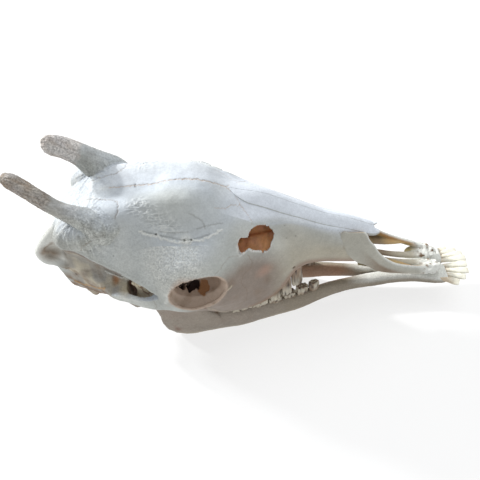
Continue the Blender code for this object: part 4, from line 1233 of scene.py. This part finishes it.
def inner_tones(surface):
    """Warm bone inside the nose, and dark red-brown on the deep walls of the shafts beside the braincase."""
    points, normals = surface.points, surface.normals
    x, y, z, width = surface.places()
    inside = (x > CAVITY[0]) & (width < 70) & (z > CAVITY[2] - 20) & (x < 520)
    middle = np.stack((x, np.zeros(len(x)), 182.0 - 0.28 * np.clip(x - 300, 0, 250)), axis=1)
    inward = np.einsum("ij,ij->i", normals, middle - points) > 0
    surface.stain((inside & inward) * 1.0, INNER)
    walls = (width < 84) | ((y * normals[:, 1] < 0) & (width < 103))
    shaft = (x > 112) & (x < 192) & (width > 66) & walls & (z < 178) & (normals[:, 2] < 0.6)
    # Dark red-brown on the deep walls of the shafts.
    surface.stain(shaft * unit(noise(points, 10, 8) * 0.5 + 0.7), RED_BROWN)


def brow_spikes(surface, side):
    """Spiky white bone on the rim above the orbit."""
    spiky = fade(np.linalg.norm(surface.points - (222, side * 74, 259), axis=1), 13)
    surface.height += spiky * 3.2 * unit(ridged(surface.points, 3.0, 33) - 0.3)
    surface.stain(spiky * 0.8, WHITE)


def orbit_tones(surface, side):
    """Stained inside of the orbit, with the torn hole in its wall."""
    centre, radii = ORBIT_INSIDE
    mouth = surface.points - (centre[0], side * centre[1], centre[2])
    facing = -np.einsum("ij,ij->i", surface.normals, mouth) / np.maximum(np.linalg.norm(mouth, axis=1), 1)
    socket = np.linalg.norm(mouth / radii, axis=1) < 1
    surface.stain(socket * unit(facing * 4 + 0.4) * 0.95, SOCKET)
    surface.stain(socket * unit(facing * 2) * unit(noise(surface.points, 9, 34)) * 0.5, BROWN)
    surface.patch(*ORBIT_STAIN, ORANGE, 0.9, 1.0, side, seed=14)
    for place, size, depth in ORBIT_HOLE:
        # The torn holes are painted dark as their shade.
        surface.patch(place, size, DEEP_SHADE, 1.0, depth, side, seed=15)


def side_details(surface, side):
    """Lines, small holes, orbit, spots and torn opening of one side."""
    for paths, width, depth, colour, share, jagged, more in SKULL_LINES:
        for path in paths:
            surface.line(path, side, width, depth, colour, share, jagged, LINE_SEED + side + more)
    for centre, radius, depth in FORAMINA:
        # Painted shade: the small holes are painted dark.
        surface.spot(centre, (radius,) * 3, depth, DEEP_SHADE, 0.7, side)
    brow_spikes(surface, side)
    orbit_tones(surface, side)
    for spot in SKULL_SPOTS:
        surface.spot(*spot, side)
    torn_rim(surface, side)
    surface.spot((356, 35, 210), (24, 16, 20), 0.0, SHADE, 0.3, side)
    # Painted shade along the overhanging upper edge of the nape hollow.
    surface.line(NAPE_EDGE, side, 5.0, 0.5, BROWN, 0.6)


def cranium():
    surface = Surface(cranium_body(), PALE)
    width = abs(surface.points[:, 1])
    temple, rim = temple_share(surface.points)
    surface.soften(temple * oval(surface.points, (66, 195), (52, 70)) ** 0.3)
    surface.soften(oval(surface.points, (272, 190), (30, 36)) ** 0.5 * (width > 74))
    surface.refresh()
    bone_tones(surface)
    top_tones(surface)
    temple_tones(surface, temple, rim)
    rear_tones(surface)
    cheek_tones(surface)
    inner_tones(surface)
    relief(surface)
    for side in (RIGHT, LEFT):
        side_details(surface, side)
    settle(surface, "skull_bone", "skull", "bone", "cranium")


def ossicone(side):
    path = OSSICONE_RIGHT if side == RIGHT else OSSICONE_LEFT
    horn = tube("ossicone", path, side, OSSICONE_BROAD_WAY, sides=40, steps=10)
    union(horn, [ellipsoid("skirt", OSSICONE_SKIRT, side, tilt=SKIRT_TILT)])
    surface = Surface(melted(horn, OSSICONE_GRID), PALE)
    bone_tones(surface)
    relief(surface)
    points = surface.points
    start, wear, age, colour = HORN_LOOK[side]
    foot, tip = (np.array((x, side * y, z), float) for x, y, z in (HORN_FOOT, path[-1][:3]))
    axis = (tip - foot) / np.linalg.norm(tip - foot)
    along = (points - foot) @ axis
    horny = unit((along + 5 * noise(points, 9, 24) - start) / 9)
    worn = unit((along + 40 - start) / 30) * wear
    surface.stain(worn, HORN_GREY)
    crests = ridged(points - np.outer(along, axis) * 0.85, 2.8, 21 + side)
    coarse = 0.7 * crests + 0.35 * noise(points, 2.2, 22)
    surface.height += (0.25 + 0.75 * horny) * coarse + 0.3 * noise(points, 7, 23)
    surface.rough += 0.7 * horny
    surface.stain(worn * unit(0.4 - crests) * 2.5, SHADE)
    surface.stain(horny, colour)
    surface.stain(horny * unit(noise(points, 14, 31) + 0.1) * 0.5, HORN_LILAC)
    aged = horny * age
    surface.stain(aged * unit(noise(points, 9, 32) + 0.1), HORN_BROWN)
    surface.stain(aged * unit(0.35 - crests) * 2.2, BROWN)
    # Painted shade: the downward faces of the rough horn are browner.
    surface.stain(horny * unit(-surface.normals[:, 2]) * 0.8, HORN_BROWN)
    material = f"horn_bone_{side + 1}"
    bone_material(material, grain=1.6, pores=0.7, roughness=0.75, mottle=0.22)
    settle(surface, material, f"horn_{WORDS[side]}", "horn_bone", f"ossicone_{WORDS[side]}")


def nasal_bone(side):
    """Plate in the roof of the nose, level with the vault, with a notch between the tips."""
    rings = []
    for x in stations_of(NASAL_PLATE, NASAL_RINGS):
        inner, outer, thickness = rail_at(NASAL_PLATE, x)
        across = np.linspace(inner + SUTURE_GAP / 2, outer, NASAL_COLUMNS)
        top = [(y, roof_height(x, y)) for y in across]
        bottom = [(y, roof_height(x, y) - thickness) for y in reversed(across)]
        rings.append([(x, side * y, z) for y, z in top + bottom])
    surface = Surface(loft("nasal", rings), PALE)
    bone_tones(surface)
    # Painted top light on the upward-facing top of the nasal bone.
    surface.stain(unit((surface.normals[:, 2] - 0.52) * 5), TOP_LIGHT)
    settle(surface, "skull_bone", f"nose_roof_{WORDS[side]}", "bone", f"nasal_{WORDS[side]}")


def premaxilla_rows(side):
    """Side plate of the premaxilla, with its tall part at the height of this side."""
    rise, reach = PREMAXILLA_RISE[side]
    rows = []
    for x, y, z, tall, thin in PREMAXILLA_PLATE:
        if PREMAXILLA_RISE_START < x < reach:
            y, z, tall = y - PREMAXILLA_TUCK, z + rise / 2, tall + rise / 2
        rows.append((x, y, z, tall, thin))
    return rows


def palatal_shelf(side):
    rings = []
    for x in stations_of(PREMAXILLA_SHELF, SHELF_RINGS):
        inner, outer, height = rail_at(PREMAXILLA_SHELF, x)
        centre = np.array((x, side * (inner + outer) / 2, height))
        half = np.array((0, (outer - inner) / 2, 0))
        rings.append(ellipse(centre, half, np.array((0, 0, SHELF_HALF_THICKNESS)), SHELF_SIDES))
    return loft("shelf", rings)


def premaxilla_body(side, rows):
    bone = upright_plate("premaxilla", rows, side, PREMAXILLA_LEAN, sides=32, count=90)
    slip = tube("slip", PREMAXILLA_SLIP, side, (0, 0, 1), sides=24, steps=8)
    union(bone, [slip, ellipsoid("tip", PREMAXILLA_TIP, side), palatal_shelf(side)])
    melted(bone, PREMAXILLA_GRID)
    return cut(bone, [half_space(side, 0, EVERYTHING)])


def premaxilla(side):
    rows = premaxilla_rows(side)
    surface = Surface(premaxilla_body(side, rows), PALE)
    points, normals = surface.points, surface.normals
    surface.height += 0.15 * noise(points, 5, 51)
    row_x, row_y, row_z, row_tall, row_thin = np.array(rows).T
    x, y, z = points.T
    centre = np.interp(x, row_x, row_z)
    sheet = np.interp(x, row_x, row_y) - PREMAXILLA_LEAN * (z - centre)
    inward = unit((sheet - side * y) / 2 + 0.3) * (abs(y) > 15)
    surface.stain(inward, OLIVE)
    upper = unit((z - centre) / 8 + 0.3 + 0.4 * noise(points, 12, 52))
    surface.stain(inward * upper, TAN)
    surface.stain(unit((15 - abs(y)) / 3) * 0.7, CREAM)
    surface.stain(unit(side * normals[:, 1] * 1.5 - 0.2) * 0.6, ROSTRUM)
    # Painted shade: the lower edge of the plate and its downward faces are browner.
    foot = unit((centre - z) / 5 + 0.5) * fade(abs(x - 505), 50)
    surface.stain(foot * 0.8, BROWN)
    surface.stain(unit(-normals[:, 2] - 0.2) * 0.8, BROWN)
    rim = [(px, py - PREMAXILLA_LEAN * tall, pz + tall) for px, py, pz, tall, thin in rows]
    surface.line(rim[4:-1], side, 4.0, -0.6, WHITE, 0.9)
    tip = unit((x - 560) / 14)
    surface.height += tip * 1.4 * noise(points, 5, 54)
    surface.stain(tip, WHITE)
    surface.stain(tip * unit(noise(points, 4, 55) - 0.25) * 2, BROWN)
    settle(surface, "skull_bone", f"muzzle_{WORDS[side]}", "tan_bone", f"premaxilla_{WORDS[side]}")


def half_jaw(side):
    body = union(jaw_body(side), [
        jaw_branch(side),
        tube("coronoid", CORONOID, side, (1, 0, 0), sides=32, steps=8),
        tube("condyle_neck", CONDYLE_NECK, side, (1, 0, 0), sides=32, steps=8),
        ellipsoid("condyle", JAW_CONDYLE, side),
    ])
    melted(body, JAW_GRID)
    table = box("table", (-EVERYTHING, -EVERYTHING, -EVERYTHING), (EVERYTHING, EVERYTHING, 0))
    return cut(body, [half_space(side, SYMPHYSIS_START, EVERYTHING), table])


def jaw_bone(side):
    surface = Surface(half_jaw(side), JAW_BROWN)
    points, normals = surface.points, surface.normals
    x, y, z = points.T
    surface.height += np.where(z > 1, 0.25 * noise(points, 8, 61) + 0.1 * noise(points, 3, 62), 0)
    surface.stain(unit(noise(points, 40, 63)) * 0.5, PINKISH)
    surface.stain(unit((x - 300) / 60), JAW_FRONT)
    surface.stain(unit((x - 450) / 40) * unit(normals[:, 2] * 1.5), WHITE)
    surface.stain(unit(-side * normals[:, 1]) * unit((472 - x) / 30) * 0.8, JAW_INNER)
    surface.stain(fade(abs(x - 158), 10) * (z < 60) * unit(noise(points, 12, 65) + 0.2) * 0.6, RED_BROWN)
    surface.stain(unit((14 - z) / 14) * (x < 420) * 0.5, CREAM)
    surface.rough += 0.3
    blade = (x < 160) & (z > 150)
    surface.stain(blade * 1.0, CREAM)
    streaks = unit(ridged(points * (1, 1, 0.25), 4, 64) - 0.45)
    surface.stain(blade * streaks * 1.6, RED_BROWN)
    settle(surface, "skull_bone", f"jaw_{WORDS[side]}", "jaw_bone", f"mandible_{WORDS[side]}")


def crown(place, size, root, tip, way, lobes, rng):
    """Cheek tooth with ribbed walls and a worn, hollowed top."""
    length, width = size
    along = np.array((way[0], way[1], 0.0))
    across = np.array((-way[1], way[0], 0.0))
    middle = np.array((place[0], place[1], 0.0))
    phase = rng.uniform(-0.3, 0.3)
    down = 1 if tip < root else -1
    rings = []
    for height, scale, rise in CROWN_LEVELS:
        ring = []
        for angle in np.linspace(0, 2 * math.pi, CROWN_SIDES, endpoint=False):
            c, s = math.cos(angle), math.sin(angle)
            ribs = 1 + 0.10 * math.cos(4 * lobes * angle + phase) + 0.05 * math.cos(7 * lobes * angle)
            reach = (abs(c) ** CROWN_SQUARENESS + abs(s) ** CROWN_SQUARENESS) ** (-1 / CROWN_SQUARENESS)
            z = root + (tip - root) * height
            if rise:
                cusp = 0.8 * math.cos(2 * lobes * angle) * (1 if scale > 0.6 else 0.4)
                z -= down * (rise + cusp)
            flat = along * c * reach * length / 2 * scale * ribs
            flat = flat + across * s * reach * width / 2 * scale * ribs
            ring.append(middle + flat + np.array((0, 0, z)))
        rings.append(ring)
    return loft("crown", rings)


def joined(pieces):
    """One object out of several that keep their own surfaces."""
    bm = bmesh.new()
    for piece in pieces:
        bm.from_mesh(piece.data)
        bpy.data.objects.remove(piece)
    return new_object("joined", bm)


def cheek_row(side, teeth, row, roots, tips, name, tuck=(0, 0, 0)):
    rng = random.Random(71 + side + len(name))
    pieces = []
    for x, length, width, lobes in teeth:
        slope = (rail_at(row, x + 5)[0] - rail_at(row, x - 5)[0]) / 10
        way = np.array((1.0, side * slope))
        way /= np.linalg.norm(way)
        inset, narrower, lift = tuck
        place = (x, side * (rail_at(row, x)[0] - inset))
        root = rail_at(roots, x)[0]
        tip = rail_at(tips, x)[0] + lift + rng.uniform(-0.8, 0.8)
        pieces.append(crown(place, (length - TOOTH_GAP, width - narrower), root, tip, way, lobes, rng))
    surface = Surface(joined(pieces), ENAMEL)
    points = surface.points
    grain = noise(points, 2.2, 73)
    surface.height += 0.25 * grain + 0.2 * noise(points, 5, 74)
    surface.height += 0.7 * ridged(points, 4.0, 77)
    surface.stain(unit(grain * 1.5 - 0.2) * 0.6, CREAM)
    low = np.interp(points[:, 0], *np.array(tips).T)
    high = np.interp(points[:, 0], *np.array(roots).T)
    along = (points[:, 2] - low) / (high - low)
    surface.stain(unit((along - 0.3) * 3) * 0.85, GUM_BROWN)
    surface.stain(unit(noise(points * (1, 1, 0.3), 4.0, 76) * 2.5) * 0.8, BROWN)
    # Painted shade in the clefts of the teeth.
    surface.stain(unit(noise(points * (1, 1, 0.4), 3.2, 79) * 3 - 0.7) * 0.9, DEEP_SHADE)
    facing = np.clip(abs(surface.normals[:, 2]) - 0.5, 0, 0.5) * 2
    surface.stain(facing * unit(noise(points, 3, 75) + 0.4) * 0.9, RED_BROWN)
    settle(surface, "enamel", name, "bone" if name.startswith("upper") else "jaw_bone")


def front_row(side):
    pieces = []
    for root, tip, half in FRONT_TEETH_RIGHT if side == RIGHT else FRONT_TEETH_LEFT:
        start, end = (np.array((x, side * y, z), float) for x, y, z in (root, tip))
        along = (end - start) / np.linalg.norm(end - start)
        across = np.array((-along[1], along[0], 0.0))
        across /= np.linalg.norm(across)
        up = np.cross(along, across)
        rings = []
        for t, width, depth in curve_through(FRONT_TAPER, 4):
            centre = start + (end - start) * t
            rings.append(ellipse(centre, across * half * width, up * depth, 24, TOOTH_SQUARENESS))
        pieces.append(loft("front_tooth", rings))
    surface = Surface(joined(pieces), IVORY)
    points = surface.points
    surface.height += 0.2 * noise(points, 3, 81)
    surface.stain(unit(noise(points, 6, 82)) * 0.5, CREAM)
    surface.stain(unit((622 - points[:, 0]) / 14) * 0.5, TAN)
    settle(surface, "enamel", f"front_teeth_{WORDS[side]}", "jaw_bone")


def camera():
    place = Vector(CAMERA_PLACE) - Vector(MIDDLE)
    target = Vector(CAMERA_TARGET) - Vector(MIDDLE)
    data = bpy.data.cameras.new("camera")
    data.lens = CAMERA_LENS
    data.sensor_width = CAMERA_SENSOR
    data.clip_start = 0.01
    obj = bpy.data.objects.new("camera", data)
    turn = (target - place).to_track_quat("-Z", "Y").to_matrix().to_4x4()
    roll = Matrix.Rotation(math.radians(CAMERA_ROLL), 4, "Z")
    obj.matrix_world = Matrix.Translation(place * MM) @ turn @ roll
    bpy.context.scene.collection.objects.link(obj)
    bpy.context.scene.camera = obj


def sun(name, way, strength, angle, colour):
    data = bpy.data.lights.new(name, "SUN")
    data.energy = strength
    data.angle = math.radians(angle)
    data.color = colour
    obj = bpy.data.objects.new(name, data)
    obj.rotation_euler = Vector(way).to_track_quat("Z", "Y").to_euler()
    bpy.context.scene.collection.objects.link(obj)


def surround():
    """Even, white light from everywhere."""
    world = bpy.data.worlds.new("surround")
    world.use_nodes = True
    background = world.node_tree.nodes["Background"].inputs
    background["Color"].default_value = SURROUND_COLOUR
    background["Strength"].default_value = SURROUND
    bpy.context.scene.world = world


def pale_floor():
    bm = bmesh.new()
    bmesh.ops.create_grid(bm, x_segments=1, y_segments=1, size=FLOOR_REACH)
    floor = new_object("floor", bm)
    floor.location.z = -FLOOR_DEPTH
    material = bpy.data.materials.new("floor")
    material.use_nodes = True
    shader = material.node_tree.nodes["Principled BSDF"].inputs
    shader["Base Color"].default_value = FLOOR_GREY
    shader["Roughness"].default_value = 0.9
    shader["Emission Color"].default_value = (1.0, 1.0, 1.0, 1.0)
    shader["Emission Strength"].default_value = FLOOR_GLOW
    floor.data.materials.append(material)


def studio():
    """Pale floor, white surround, two low lamps on the far side above the nape, and a soft one above."""
    surround()
    pale_floor()
    for lamp in LAMPS:
        sun(*lamp)
    bpy.context.scene.view_settings.view_transform = "Standard"


def main():
    camera()
    studio()
    bone_material("skull_bone")
    cranium()
    bone_material("enamel", grain=0.8, pores=0.0, roughness=0.42, mottle=0.12)
    for side, word in WORDS.items():
        concha(side)
        ossicone(side)
        nasal_bone(side)
        premaxilla(side)
        jaw_bone(side)
        cheek_row(side, UPPER_TEETH, UPPER_ROW, UPPER_ROOTS, UPPER_TIPS, f"upper_teeth_{word}", UPPER_TUCK)
        cheek_row(side, LOWER_TEETH, LOWER_ROW, LOWER_ROOTS, LOWER_TIPS, f"lower_teeth_{word}")
        front_row(side)


main()
